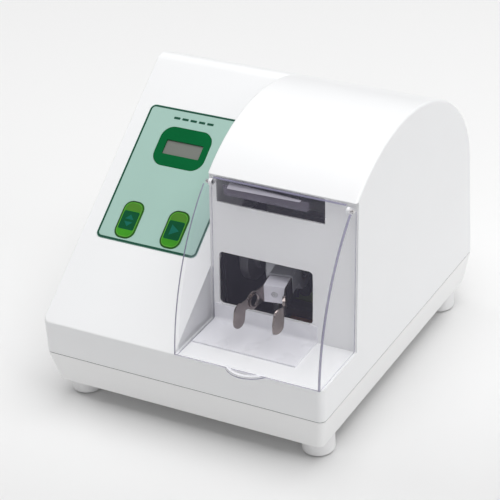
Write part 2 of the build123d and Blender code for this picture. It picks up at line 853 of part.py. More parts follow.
def make_buzzer():
    under = -control_board_depth - board_thickness
    x = control_board_left + 2.5 * board_post_inset + buzzer_radius
    can = slope_rod(buzzer_radius, x, control_board_high - buzzer_radius - 3, under - buzzer_height, under)
    hole = slope_rod(1.0, x, control_board_high - buzzer_radius - 3, under - buzzer_height - 1,
                     under - buzzer_height + 1.5)
    return can - hole


# ---- clear cover -----------------------------------------------------------------------
def cover_curve(inset):
    """The front curve of the cover, as (y, z), from its top edge down to its bottom edge."""
    half_y = front_curve_half_y + cover_proud - inset
    half_z = front_curve_half_z + cover_proud - inset
    bottom_rise = (band_top + cover_floor_gap - front_curve_centre_z) / half_z
    top_rise = (hinge_z + hinge_eye_radius - front_curve_centre_z) / half_z
    top_angle = 180 - degrees(asin(top_rise))
    turn = degrees(asin(top_rise)) - degrees(asin(bottom_rise))
    return EllipticalCenterArc((apex_y, front_curve_centre_z), half_y, half_z,
                               start_angle=top_angle, arc_size=turn)


def cover_sheet_outline():
    outside = cover_curve(0)
    inside = cover_curve(cover_thickness)
    ends = [Line(outside @ 0, inside @ 0), Line(outside @ 1, inside @ 1)]
    return make_face(Curve() + [outside, inside, *ends])


def cover_outline(inset, rear_floor_y, rear_top_y):
    """Side view of the space behind the cover's curve, back to two corners."""
    curve = cover_curve(inset)
    floor_corner = (rear_floor_y, band_top + cover_floor_gap)
    top_corner = (rear_top_y, hinge_z + hinge_eye_radius)
    return make_face(Curve() + [curve, Polyline(curve @ 1, floor_corner, top_corner, curve @ 0)])


def make_cover_tongue():
    """A bent strip that swings out of the slot with the cover and lets go of the switch."""
    front = tongue_rear_y - tongue_thickness
    top = hinge_z + tongue_rise
    tip = hinge_z - tongue_drop
    side = polygon((0, top), (tongue_rear_y, top), (tongue_rear_y, tip), (front, tip),
                   (front, top - tongue_thickness), (0, top - tongue_thickness))
    tongue = side_prism(side, tongue_left, tongue_right)
    tongue = fillet(tongue.edges().filter_by(Axis.Y).group_by(Axis.Z)[0], tongue_corner_radius)
    bend = tongue.edges().filter_by(Axis.X).group_by(Axis.Z)[-1].sort_by(Axis.Y)[-1]
    return fillet(bend, tongue_thickness * 0.8)


def make_clear_cover():
    inner_left = cover_left + cover_side_thickness
    inner_right = cover_right - cover_side_thickness
    gap = cover_wall_gap / cos(radians(chamber_wall_tilt))
    side = cover_outline(0, chamber_wall_at(band_top + cover_floor_gap) - gap,
                         chamber_wall_at(hinge_z + hinge_eye_radius) - gap)
    sheet = side_prism(cover_sheet_outline(), cover_left, cover_right)
    sides = side_prism(side, cover_left, inner_left) + side_prism(side, inner_right, cover_right)
    inside_sheet = side_prism(cover_outline(cover_thickness / 2, far, far), inner_left, inner_right)
    eye = rod_x(hinge_eye_radius, cover_left - 1, cover_right + 1, hinge_y, hinge_z)
    cover = sheet + sides - (block(cover_left - 1, cover_right + 1, hinge_y, far, hinge_z, far) - eye)
    cover = cover + (make_cover_tongue() & inside_sheet)
    ear_room = hinge_lug_radius + hinge_lug_gap + 0.1
    for x0 in (inner_left, inner_right - ear_width()):
        x1 = x0 + ear_width()
        cover = cover - rod_x(ear_room, x0, x1, hinge_y, hinge_z)
        cover = cover - block(x0, x1, hinge_y, far, hinge_z - ear_room, far)
    cover = cover - rod_x(hinge_pin_radius + hinge_pin_clearance, cover_left - 1, cover_right + 1,
                          hinge_y, hinge_z)
    rounded = upright_plate(cover_left, cover_right, -far, hinge_z + hinge_eye_radius,
                            cover_corner_radius, -far, far)
    return (cover & rounded) + make_thumb_tab()


def ear_width():
    return hinge_lug_thickness + 2 * hinge_lug_gap


def make_thumb_tab():
    """A crescent lip at the foot of the cover."""
    radius = (tab_chord**2 / 4 + tab_reach**2) / (2 * tab_reach)
    floor = band_top + cover_floor_gap
    disc = rod_z(radius, tab_x, radius - tab_reach, floor, floor + tab_thickness)
    disc = fillet(disc.edges().filter_by(GeomType.CIRCLE), 0.5)
    return disc & block(tab_x - tab_chord, tab_x + tab_chord, -far, 0.8, floor, floor + tab_thickness)


def make_hinge_pins():
    left_end = cover_left + cover_side_thickness + hinge_lug_gap + hinge_lug_thickness
    right_end = cover_right - cover_side_thickness - hinge_lug_gap - hinge_lug_thickness
    return [rod_x(hinge_pin_radius, cover_left + 0.1, left_end, hinge_y, hinge_z),
            rod_x(hinge_pin_radius, right_end, cover_right - 0.1, hinge_y, hinge_z)]


# ---- drive shaft and crank -------------------------------------------------------------
def make_drive_shaft():
    shaft = rod_x(shaft_radius, shaft_left, shaft_right, shaft_y, shaft_z)
    ends = shaft.edges().filter_by(GeomType.CIRCLE)
    return chamfer(ends, 0.4)


def make_crank_sleeve():
    """A sleeve whose outside is tilted to the shaft, so the hub on it wobbles."""
    journal = hub_frame * rod_x(journal_radius, -journal_length / 2, journal_length / 2, 0, 0)
    return journal - rod_x(shaft_radius, hub_x - far, hub_x + far, shaft_y, shaft_z)


def make_flywheel():
    wheel = rod_x(flywheel_radius, flywheel_x, flywheel_x + flywheel_width, shaft_y, shaft_z)
    wheel = chamfer(wheel.edges().filter_by(GeomType.CIRCLE), 0.6)
    collar = rod_x(flywheel_hub_radius, flywheel_x + flywheel_width,
                   flywheel_x + flywheel_width + flywheel_hub_width, shaft_y, shaft_z)
    wheel = wheel + collar - rod_x(shaft_radius, 0, far, shaft_y, shaft_z)
    screw_x = flywheel_x + flywheel_width + flywheel_hub_width / 2
    return wheel - rod_z(small_screw_radius, screw_x, shaft_y, shaft_z, shaft_z + flywheel_radius)


def make_set_screw():
    screw_x = flywheel_x + flywheel_width + flywheel_hub_width / 2
    return rod_z(small_screw_radius, screw_x, shaft_y, shaft_z + shaft_radius,
                 shaft_z + flywheel_hub_radius - 0.4)


# ---- rocking hub and capsule clip, drawn with the hub's axis along x ---------------------
def make_rocker_hub():
    half = hub_length / 2
    barrel = rod_x(hub_radius, -half, half, 0, 0)
    barrel = chamfer(barrel.edges().filter_by(GeomType.CIRCLE), 0.8)
    arm_left = arm_offset - arm_width / 2
    arm = block(arm_left, arm_left + arm_width, -arm_reach + clip_strip / 2, 0, -arm_height / 2, arm_height / 2)
    arm = fillet(arm.edges().filter_by(Axis.Y), 2.0)
    tail = rod_y(guide_pin_radius + 2.5, 0, 0, hub_radius + 3, 0)
    hub = barrel + arm + tail
    seat = hub_bearing_width + retainer_thickness
    bores = [rod_x(hub_bearing_radius, -half - 1, -half + seat, 0, 0),
             rod_x(hub_bearing_radius, half - seat, half + 1, 0, 0),
             rod_x(hub_rib_radius, -half, half, 0, 0),
             rod_y(guide_pin_radius, 0, hub_rib_radius - 2, hub_radius + 5, 0),
             rod_y(small_screw_radius, arm_offset, -arm_reach, -arm_reach + clip_strip + 9, 0)]
    return hub_frame * (hub - bores)


def make_hub_bearings():
    half = hub_length / 2
    bearings = []
    for x0 in (-half + retainer_thickness, half - retainer_thickness - hub_bearing_width):
        x1 = x0 + hub_bearing_width
        ring = rod_x(hub_bearing_radius, x0, x1, 0, 0) - rod_x(journal_radius + running_fit, x0 - 1, x1 + 1, 0, 0)
        bearings.append(hub_frame * with_race_groove(ring, x0, x1, 0, 0, journal_radius, hub_bearing_radius))
    return bearings


def with_race_groove(ring, x0, x1, y, z, inner, outer):
    """Both faces of a bearing are set back between its rings."""
    middle = (inner + outer) / 2
    half_gap = (outer - inner) * 0.22
    depth = 0.4
    for low, high in ((x0 - 1, x0 + depth), (x1 - depth, x1 + 1)):
        groove = rod_x(middle + half_gap, low, high, y, z) - rod_x(middle - half_gap, low, high, y, z)
        ring = ring - groove
    return ring


def make_retaining_rings():
    half = hub_length / 2
    rings = []
    for x0 in (-half, half - retainer_thickness):
        x1 = x0 + retainer_thickness
        ring = rod_x(hub_bearing_radius, x0, x1, 0, 0) - rod_x(hub_bearing_radius - 1.8, x0 - 1, x1 + 1, 0, 0)
        gap = block(x0 - 1, x1 + 1, -1.5, 1.5, 0, hub_bearing_radius + 1)
        rings.append(hub_frame * (ring - gap))
    return rings


def make_guide_pin():
    pin = rod_y(guide_pin_radius, 0, hub_rib_radius + 1, guide_pin_reach, 0)
    return hub_frame * chamfer(pin.edges().filter_by(GeomType.CIRCLE), 0.4)


def make_clip_block():
    left = arm_offset - clip_block_width / 2
    rear = -arm_reach - clip_strip / 2
    middle = block(left, left + clip_block_width, -clip_block_front, rear, -clip_block_height / 2,
                   clip_block_height / 2)
    middle = fillet(middle.edges().filter_by(Axis.Z).group_by(Axis.Y)[-1], clip_strip * 0.6)
    bore = rod_y(small_screw_radius + screw_hole_clearance, arm_offset, -clip_block_front - 1, rear + 1, 0)
    head_room = rod_y(small_head_radius + 0.1, arm_offset, -clip_block_front - 1,
                      -clip_block_front + small_head_height + clip_screw_sink, 0)
    return hub_frame * (middle - bore - head_room)


def prong_splay(sign):
    return right_prong_splay if sign > 0 else left_prong_splay


def prong_side(sign):
    """Plan of one prong, as points from the bend to its end; sign is +1 on the right."""
    bend_x = arm_offset + sign * (clip_block_width + clip_strip) / 2
    splay = radians(prong_splay(sign))
    turn = radians(paddle_turn)
    neck = (bend_x + sign * prong_straight * sin(splay), -clip_block_front - prong_straight * cos(splay))
    end = (neck[0] - prong_end * sin(turn), neck[1] - prong_end * cos(turn))
    return [(bend_x, -clip_block_front), neck, end]


def prong_cutter(sign):
    """Side view of a prong, cut square to it: strap, seat, neck and hanging paddle."""
    bend = prong_side(sign)[0]
    strap = polygon((-far, clip_strap_height / 2), (-far, -clip_strap_height / 2),
                    (seat_distance, -clip_strap_height / 2), (prong_straight - 1, -neck_height / 2),
                    (prong_straight + 3, -neck_height / 2), (prong_straight + 3, neck_height / 2),
                    (prong_straight - 1, neck_height / 2), (seat_distance, clip_strap_height / 2))
    seat = Pos(seat_distance, 0) * Circle(seat_outer_radius)
    shortened = cos(radians(paddle_turn + sign * prong_splay(sign)))
    width = paddle_width * shortened
    paddle = Pos(prong_straight + paddle_middle * shortened, -paddle_drop) * Rot(0, 0, 12)
    paddle = paddle * RectangleRounded(width, paddle_length, width * 0.48)
    outline = strap + seat + paddle - Pos(seat_distance, 0) * Circle(seat_hole_radius)
    splay = radians(prong_splay(sign))
    plane = Plane(origin=(bend[0], bend[1], 0), x_dir=(sign * sin(splay), -cos(splay), 0),
                  z_dir=(-cos(splay) * sign * sign, -sign * sin(splay), 0))
    return extrude(plane * outline, far / 4, both=True)


def make_capsule_clip():
    """One bent strip: round the back of the block, along its sides and out into two prongs."""
    back = -arm_reach
    half = (clip_block_width + clip_strip) / 2
    corners = [(arm_offset + half, back), (arm_offset - half, back)]
    points = prong_side(1)[::-1] + corners + prong_side(-1)
    bend = 2.0
    radii = [prong_end * 0.8, bend * 3, clip_strip, clip_strip, bend * 3, prong_end * 0.8]
    strip = trace(FilletPolyline(*points, radius=radii), clip_strip)
    sheet = extrude(Pos(0, 0, -far / 8) * strip, far / 4)
    right = sheet & prong_cutter(1) & block(arm_offset, far, -far, far, -far, far)
    left = sheet & prong_cutter(-1) & block(-far, arm_offset, -far, far, -far, far)
    clip = right + left + seat_rim(1) + seat_rim(-1)
    hole = rod_y(small_screw_radius + screw_hole_clearance, arm_offset, back - 2, back + 2, 0)
    return hub_frame * (clip - hole)


def seat_rim(sign):
    """The raised edge of a capsule seat, on the side towards the other prong."""
    bend = prong_side(sign)[0]
    splay = radians(prong_splay(sign))
    along = (sign * sin(splay), -cos(splay), 0)
    inward = (-sign * cos(splay), -sin(splay), 0)
    plane = Plane(origin=(bend[0], bend[1], 0), x_dir=along, z_dir=inward)
    ring = Circle(seat_hole_radius + 1.0) - Circle(seat_hole_radius)
    return extrude(plane * Pos(seat_distance, 0) * ring, clip_strip / 2 + seat_rim_height)


def make_clip_screw():
    seat = -clip_block_front + small_head_height + clip_screw_sink
    length = -seat - (arm_reach - clip_strip) + 8
    place = Pos(arm_offset, seat, 0) * Rot(90, 0, 0)
    return hub_frame * place * small_screw(length)


# ---- motor -----------------------------------------------------------------------------
def make_motor_can():
    can = rod_x(motor_radius, motor_rear_x, motor_face_x, shaft_y, shaft_z)
    can = fillet(can.edges().filter_by(GeomType.CIRCLE).sort_by(Axis.X)[-1], 1.5)
    bore = rod_x(motor_radius - motor_can_thickness, motor_rear_x - 1, motor_face_x - 2, shaft_y, shaft_z)
    boss = rod_x(motor_boss_radius, motor_face_x - 3, motor_face_x + motor_boss_length, shaft_y, shaft_z)
    seat_end = motor_face_x + motor_boss_length - 1
    seat = rod_x(motor_bearing_radius, motor_face_x - 4, seat_end, shaft_y, shaft_z)
    hole = rod_x(shaft_radius + 0.5, motor_face_x - 4, motor_face_x + 10, shaft_y, shaft_z)
    can = can - bore + boss - seat - hole
    return can - [rod_x(screw_radius, motor_face_x - 3, motor_face_x + 1, y, z) for y, z in face_screws()]


def face_screws():
    """Screws through the bracket into the motor's face, as (y, z)."""
    circle = (motor_radius + motor_boss_radius) / 2
    return [(shaft_y, shaft_z + circle), (shaft_y, shaft_z - circle)]


def make_motor_screws():
    return [Pos(bracket_right, y, z) * Rot(0, 90, 0) * big_screw(bracket_thickness + 2)
            for y, z in face_screws()]


def make_motor_end_cap():
    x0 = motor_rear_x - motor_cap_length
    cap = rod_x(motor_radius - 0.5, x0, motor_rear_x, shaft_y, shaft_z)
    cap = fillet(cap.edges().filter_by(GeomType.CIRCLE).sort_by(Axis.X)[0], 1.5)
    spigot = rod_x(motor_radius - motor_can_thickness, motor_rear_x - 0.5, motor_rear_x + 2, shaft_y, shaft_z)
    spigot = spigot - rod_x(motor_radius - motor_can_thickness - 2, motor_rear_x - 1, motor_rear_x + 3,
                            shaft_y, shaft_z)
    seat = rod_x(motor_bearing_radius, motor_rear_x - motor_bearing_width, motor_rear_x + 1, shaft_y, shaft_z)
    hollow = rod_x(shaft_radius + 1, shaft_left - 0.8, motor_rear_x + 1, shaft_y, shaft_z)
    return cap + spigot - seat - hollow


def bearing(x0, width, outer):
    x1 = x0 + width
    ring = rod_x(outer, x0, x1, shaft_y, shaft_z)
    ring = ring - rod_x(shaft_radius + running_fit, x0 - 1, x1 + 1, shaft_y, shaft_z)
    return with_race_groove(ring, x0, x1, shaft_y, shaft_z, shaft_radius, outer)


def make_motor_bearings():
    front = motor_face_x + motor_boss_length - 1 - motor_bearing_width
    return [bearing(front, motor_bearing_width, motor_bearing_radius),
            bearing(motor_rear_x - motor_bearing_width, motor_bearing_width, motor_bearing_radius)]


def make_motor_magnets():
    outer = motor_radius - motor_can_thickness
    x0 = motor_rear_x + 9
    x1 = x0 + rotor_length + 4
    ring = rod_x(outer, x0, x1, shaft_y, shaft_z)
    ring = ring - rod_x(outer - magnet_thickness, x0 - 1, x1 + 1, shaft_y, shaft_z)
    gap = motor_radius * 0.8
    top = ring & block(x0, x1, 0, far, shaft_z + gap / 2, far)
    bottom = ring & block(x0, x1, 0, far, -far, shaft_z - gap / 2)
    return [top, bottom]


def make_motor_rotor():
    x0 = motor_rear_x + 11
    core = rod_x(rotor_radius, x0, x0 + rotor_length, shaft_y, shaft_z)
    core = core - rod_x(shaft_radius, 0, far, shaft_y, shaft_z)
    slots = 5
    for n in range(slots):
        turn = radians(360 / slots * n)
        y = shaft_y + rotor_radius * cos(turn)
        z = shaft_z + rotor_radius * sin(turn)
        core = core - rod_x(2.2, x0 - 1, x0 + rotor_length + 1, y, z)
    return core


def make_commutator():
    x0 = motor_rear_x + 2.5
    ring = rod_x(commutator_radius, x0, x0 + commutator_length, shaft_y, shaft_z)
    return ring - rod_x(shaft_radius, 0, far, shaft_y, shaft_z)


def bracket_mounts():
    """Rubber mounts under the bracket's foot, as (x, y)."""
    foot_left = bracket_right - bracket_foot_length
    across = (foot_left + mount_inset, bracket_right - mount_inset - 0.5)
    along = (bracket_front + mount_inset, bracket_rear - mount_inset)
    return [(x, y) for y in along for x in across]


def make_motor_bracket():
    plate = block(bracket_x, bracket_right, bracket_front, bracket_rear, bracket_foot_z, bracket_top)
    plate = fillet(plate.edges().filter_by(Axis.X).group_by(Axis.Z)[-1], 4.0)
    foot = block(bracket_right - bracket_foot_length, bracket_right, bracket_front, bracket_rear,
                 bracket_foot_z, bracket_foot_z + bracket_thickness)
    holes = [rod_x(motor_boss_radius, bracket_x - 1, bracket_right + 1, shaft_y, shaft_z)]
    holes += [rod_x(screw_radius + screw_hole_clearance, bracket_x - 1, bracket_right + 1, y, z)
              for y, z in face_screws()]
    holes += [rod_x(small_screw_radius + screw_hole_clearance, bracket_x - 1, bracket_right + 1, y, z)
              for y, z in guide_screw_places()]
    holes += [rod_z(screw_radius + screw_hole_clearance, x, y, bracket_foot_z - 1, bracket_foot_z + 5)
              for x, y in bracket_mounts()]
    return plate + foot - holes


def make_rubber_mounts():
    mounts = []
    for x, y in bracket_mounts():
        body = rod_z(mount_radius, x, y, mount_floor, bracket_foot_z)
        waist = rod_z(mount_radius + 1, x, y, mount_floor + mount_height * 0.35, mount_floor + mount_height * 0.65)
        waist = waist - rod_z(mount_radius - 1.2, x, y, mount_floor, bracket_foot_z)
        mounts.append(body - waist - rod_z(screw_radius, x, y, mount_floor - 1, bracket_foot_z + 1))
    return mounts


def make_base_screws():
    screws = []
    for x, y in bracket_mounts():
        top = bracket_foot_z + bracket_thickness
        screws.append(Pos(x, y, top) * big_screw(top - tray_bottom - 0.5))
    for x, y in pillar_screws():
        top = tray_floor_top + pillar_foot_thickness
        screws.append(Pos(x, y, top) * big_screw(top - tray_bottom - 0.5))
    return screws


# ---- outboard bearing and guide --------------------------------------------------------
def pillar_screws():
    x = pillar_x + pillar_thickness + pillar_foot_length / 2
    offset = pillar_width / 2 - 4
    return [(x, shaft_y - offset), (x, shaft_y + offset)]


def make_bearing_pillar():
    half = pillar_width / 2
    x1 = pillar_x + pillar_thickness
    upright = block(pillar_x, x1, shaft_y - half, shaft_y + half, tray_floor_top, shaft_z)
    head = rod_x(half, pillar_x, x1, shaft_y, shaft_z)
    foot = block(pillar_x, x1 + pillar_foot_length, shaft_y - half, shaft_y + half, tray_floor_top,
                 tray_floor_top + pillar_foot_thickness)
    pillar = upright + head + foot
    pillar = pillar - block(pillar_x - 1, x1 + 1, shaft_y - half / 2, shaft_y + half / 2,
                            tray_floor_top + 14, shaft_z - half - 8)
    seat = rod_x(outboard_bearing_radius, pillar_x + 1.5, x1 + 1, shaft_y, shaft_z)
    hole = rod_x(shaft_radius + 1, pillar_x - 1, x1 + 1, shaft_y, shaft_z)
    screws = [rod_z(screw_radius + screw_hole_clearance, x, y, tray_floor_top - 1, tray_floor_top + 10)
              for x, y in pillar_screws()]
    return pillar - seat - hole - screws


def make_outboard_bearing():
    return bearing(pillar_x + 1.5, outboard_bearing_width, outboard_bearing_radius)


def guide_screw_places():
    """Screws through the motor bracket into the end of the guide bar, as (y, z)."""
    y = guide_front + guide_thickness / 2
    return [(y, shaft_z - 4.5), (y, shaft_z + 4.5)]


def make_guide_bar():
    """The bar whose level slot keeps the hub's tail pin from going round."""
    half = guide_height / 2
    bar = block(bracket_right, guide_end_x, guide_front, guide_front + guide_thickness, shaft_z - half,
                shaft_z + half)
    slot_half = guide_pin_radius + guide_slot_clearance
    slot = upright_plate(hub_x - guide_slot_length / 2, hub_x + guide_slot_length / 2,
                         shaft_z - slot_half, shaft_z + slot_half, slot_half - 0.05,
                         guide_front - 1, guide_front + guide_thickness + 1)
    holes = [rod_x(small_screw_radius, bracket_right - 1, bracket_right + 8, y, z)
             for y, z in guide_screw_places()]
    return bar - slot - holes


def make_guide_screws():
    return [Pos(bracket_x, y, z) * Rot(0, -90, 0) * small_screw(bracket_thickness + 7)
            for y, z in guide_screw_places()]


# ---- power board -----------------------------------------------------------------------
def make_power_board():
    board = block(power_board_left, power_board_right, power_board_y, power_board_y + board_thickness,
                  power_board_bottom, power_board_top)
    holes = [rod_y(small_screw_radius + screw_hole_clearance, x, power_board_y - 1, power_board_y + 5, z)
             for x, z in edge_screws()]
    return board - holes


def edge_screws():
    """Screws through the board into its two brackets, as (x, z)."""
    z = tray_floor_top + edge_bracket_height - 4
    return [(power_board_left + edge_bracket_width / 2, z), (power_board_right - edge_bracket_width / 2, z)]


def make_board_brackets():
    behind = power_board_y + board_thickness
    brackets = []
    for x, z in edge_screws():
        x0 = x - edge_bracket_width / 2
        x1 = x + edge_bracket_width / 2
        upright = block(x0, x1, behind, behind + edge_bracket_thickness, tray_floor_top,
                        tray_floor_top + edge_bracket_height)
        foot = block(x0, x1, behind, behind + edge_bracket_width, tray_floor_top,
                     tray_floor_top + edge_bracket_thickness)
        hole = rod_y(small_screw_radius, x, behind - 1, behind + 5, z)
        brackets.append(upright + foot - hole)
    return brackets


def make_board_screws():
    return [Pos(x, power_board_y, z) * Rot(90, 0, 0) * small_screw(board_thickness + 3)
            for x, z in edge_screws()]


def make_transformer_core():
    x0 = transformer_x - core_width / 2
    z0 = transformer_z - core_height / 2
    front = power_board_y - winding_overhang - core_depth
    core = block(x0, x0 + core_width, front, front + core_depth, z0, z0 + core_height)
    limb = core_width / 6
    for sign in (-1, 1):
        middle = transformer_x + sign * core_width / 4
        core = core - block(middle - limb / 2, middle + limb / 2, front - 1, front + core_depth + 1,
                            z0 + limb, z0 + core_height - limb)
    return core


def make_transformer_winding():
    """The coil on the middle limb, standing out in front of and behind the core."""
    z0 = transformer_z - core_height / 2
    limb = core_width / 6
    front = power_board_y - winding_overhang - core_depth
    half = core_width / 6 + limb / 2 - 0.2
    coil = block(transformer_x - half, transformer_x + half, front - winding_overhang,
                 power_board_y, z0 + limb, z0 + core_height - limb)
    coil = fillet(coil.edges().filter_by(Axis.Z), 2.0)
    gap_half = core_width / 4 - limb / 2
    core_hole = block(transformer_x - gap_half, transformer_x + gap_half, front,
                      front + core_depth, z0, z0 + core_height)
    return coil - core_hole


def make_triac():
    z0 = sink_z - triac_size / 2
    return block(sink_x - triac_size / 2, sink_x + triac_size / 2, power_board_y - triac_thickness,
                 power_board_y, z0, z0 + triac_size)


def make_heat_sink():
    front = power_board_y - triac_thickness - sink_base
    z0 = sink_z - sink_height / 2
    base = block(sink_x - sink_width / 2, sink_x + sink_width / 2, front, front + sink_base, z0, z0 + sink_height)
    for n in range(fin_count):
        x = sink_x + (n - (fin_count - 1) / 2) * fin_pitch
        base = base + block(x - fin_thickness / 2, x + fin_thickness / 2, front - fin_length, front + 0.1,
                            z0, z0 + sink_height)
    return base


def make_board_capacitors():
    cans = []
    for n in range(2):
        x = transformer_x + capacitor_pitch * (n + 0.15)
        can = rod_y(capacitor_radius, x, power_board_y - capacitor_length, power_board_y, sink_z + 4)
        cans.append(fillet(can.edges().sort_by(Axis.Y)[0], 0.8))
    return cans


def make_terminal_block():
    behind = power_board_y + board_thickness
    x0 = transformer_x - terminal_width / 2
    housing = block(x0, x0 + terminal_width, behind, behind + terminal_depth, terminal_z,
                    terminal_z + terminal_height)
    for n in range(terminal_ways):
        x, mouth, z = terminal_port(n)
        housing = housing - rod_y(wire_radius + 0.1, x, mouth - 5, mouth + 1, z)
    return housing


# ---- interlock switch ------------------------------------------------------------------
def switch_front():
    return chamber_wall_at(switch_middle_z) + chamber_wall_through + switch_front_gap


def switch_rear():
    return switch_front() + switch_depth


def make_interlock_switch():
    left = switch_right - switch_width
    z0 = switch_middle_z - switch_height / 2
    front = switch_front()
    body = block(left, switch_right, front, switch_rear(), z0, z0 + switch_height)
    body = fillet(body.edges().filter_by(Axis.Y), 0.8)
    well = rod_y(plunger_radius + plunger_fit, plunger_x, front - 1, switch_rear() - 1.5, plunger_z)
    holes = [rod_y(small_screw_radius, x, front + 2, switch_rear() + 1, z) for x, z in switch_screws()]
    return body - well - holes


def make_switch_bracket():
    half = switch_bracket_height / 2
    left = switch_right - switch_width
    right = slot_right + switch_boss_distance + switch_bracket_margin
    plate = upright_plate(left, right, switch_middle_z - half, switch_middle_z + half, 2.0,
                          switch_rear(), switch_rear() + switch_bracket_thickness)
    holes = [rod_y(small_screw_radius + screw_hole_clearance, x, switch_rear() - 1,
                   switch_rear() + switch_bracket_thickness + 1, z)
             for x, z in switch_screws() + switch_bracket_screws()]
    return plate - holes


def make_switch_plunger():
    front = tongue_rear_y + plunger_gap
    rear = switch_rear() - 1.5 - plunger_travel - 0.3
    plunger = rod_y(plunger_radius, plunger_x, front, rear, plunger_z)
    return fillet(plunger.edges().sort_by(Axis.Y)[0], 0.5)


def make_switch_screws():
    length = switch_bracket_thickness + switch_screw_bite - 0.5
    return [Pos(x, switch_rear() + switch_bracket_thickness, z) * Rot(-90, 0, 0) * small_screw(length)
            for x, z in switch_screws() + switch_bracket_screws()]


# ---- rear fittings ---------------------------------------------------------------------
def inlet_screw_places():
    return [inlet_x - inlet_width / 2 + 3.5, inlet_x + inlet_width / 2 - 3.5]


def make_rear_openings():
    y0 = housing_depth - wall - 1
    y1 = housing_depth + 1
    fit = 0.3
    inlet = upright_plate(inlet_x - inlet_body_width / 2 - fit, inlet_x + inlet_body_width / 2 + fit,
                          inlet_z - inlet_body_height / 2 - fit, inlet_z + inlet_body_height / 2 + fit,
                          1.0, y0, y1)
    half_width = rocker_flange_width / 2 - 1
    half_height = rocker_flange_height / 2 - 1
    rocker = upright_plate(rocker_x - half_width, rocker_x + half_width, rocker_z - half_height,
                           rocker_z + half_height, 0.5, y0, y1)
    openings = [inlet, rocker]
    openings += [rod_y(screw_radius, x, y0, y1, inlet_z) for x in inlet_screw_places()]
    vent_middle = rear_curve_centre_z - rear_vent_drop
    for n in range(vent_count):
        z = vent_middle + (n - (vent_count - 1) / 2) * rear_vent_pitch
        openings.append(upright_plate(rear_vent_left, rear_vent_left + vent_length, z - vent_width / 2,
                                      z + vent_width / 2, vent_width * 0.48, y0, y1))
    return openings


def make_mains_inlet():
    y1 = housing_depth + inlet_flange
    flange = upright_plate(inlet_x - inlet_width / 2, inlet_x + inlet_width / 2, inlet_z - inlet_height / 2,
                           inlet_z + inlet_height / 2, 3.0, housing_depth, y1)
    body = upright_plate(inlet_x - inlet_body_width / 2, inlet_x + inlet_body_width / 2,
                         inlet_z - inlet_body_height / 2, inlet_z + inlet_body_height / 2, 0.8,
                         y1 - inlet_body_depth, housing_depth + 0.5)
    socket_x = inlet_x + socket_offset
    socket = upright_plate(socket_x - socket_width / 2, socket_x + socket_width / 2,
                           inlet_z - socket_height / 2, inlet_z + socket_height / 2, 2.0,
                           y1 - socket_depth, y1 + 1)
    drawer_x = inlet_x - drawer_offset
    room_width = drawer_width / 2 + drawer_clearance
    room_height = drawer_height / 2 + drawer_clearance
    room = upright_plate(drawer_x - room_width, drawer_x + room_width, inlet_z - room_height,
                         inlet_z + room_height, 0.5, y1 - drawer_depth - 1, y1 + 1)
    holes = [rod_y(screw_radius + screw_hole_clearance, x, housing_depth - 1, y1 + 1, inlet_z)
             for x in inlet_screw_places()]
    return flange + body - socket - room - holes


def make_inlet_pins():
    socket_x = inlet_x + socket_offset
    bottom = housing_depth + inlet_flange - socket_depth
    pins = []
    for n in (-1, 0, 1):
        x = socket_x + n * inlet_pin_pitch
        z = inlet_z + (2.0 if n == 0 else -1.5)
        pin = block(x - inlet_pin_thickness / 2, x + inlet_pin_thickness / 2, bottom, bottom + inlet_pin_length,
                    z - inlet_pin_width / 2, z + inlet_pin_width / 2)
        pins.append(chamfer(pin.edges().group_by(Axis.Y)[-1], 0.5))
    return pins


def make_inlet_screws():
    seat = housing_depth + inlet_flange
    return [Pos(x, seat, inlet_z) * Rot(-90, 0, 0) * big_screw(inlet_flange + wall + 3)
            for x in inlet_screw_places()]


def make_fuse_drawer():
    y1 = housing_depth + inlet_flange + 1.0
    x = inlet_x - drawer_offset
    y0 = housing_depth + inlet_flange - drawer_depth
    tray = upright_plate(x - drawer_width / 2, x + drawer_width / 2, inlet_z - drawer_height / 2,
                         inlet_z + drawer_height / 2, 0.8, y0, y1)
    bay_z = inlet_z - 3.0
    bay = block(x - fuse_radius, x + drawer_width, y0 + 1.5, y0 + 1.5 + fuse_length,
                bay_z - fuse_radius, bay_z + fuse_radius)
    grip = block(x - drawer_width, x + drawer_width, y1 - 0.6, y1 + 1, inlet_z + 4, inlet_z + 6)
    return tray - bay - grip


def make_fuse():
    x = inlet_x - drawer_offset
    y0 = housing_depth + inlet_flange - drawer_depth + 1.5
    return rod_y(fuse_radius, x, y0, y0 + fuse_length, inlet_z - 3.0)


def make_switch_frame():
    y1 = housing_depth + rocker_flange
    flange = upright_plate(rocker_x - rocker_flange_width / 2, rocker_x + rocker_flange_width / 2,
                           rocker_z - rocker_flange_height / 2, rocker_z + rocker_flange_height / 2, 1.5,
                           housing_depth, y1)
    half_width = rocker_flange_width / 2 - 1.2
    half_height = rocker_flange_height / 2 - 1.2
    body = upright_plate(rocker_x - half_width, rocker_x + half_width, rocker_z - half_height,
                         rocker_z + half_height, 0.5, y1 - rocker_body_depth, housing_depth + 0.5)
    room_half_width = rocker_width / 2 + rocker_clearance
    room_half_height = rocker_height / 2 + rocker_clearance + rocker_swing_room
    room = upright_plate(rocker_x - room_half_width, rocker_x + room_half_width,
                         rocker_z - room_half_height, rocker_z + room_half_height, 0.5,
                         y1 - rocker_body_depth + 2, y1 + 1)
    pin_half = rocker_width / 2 + rocker_pin_reach + 0.2
    pin_hole = rod_x(rocker_pin_radius + 0.05, rocker_x - pin_half, rocker_x + pin_half,
                     rocker_pivot_y(), rocker_z)
    return flange + body - room - pin_hole


def rocker_pivot_y():
    return housing_depth + rocker_flange - 4.5


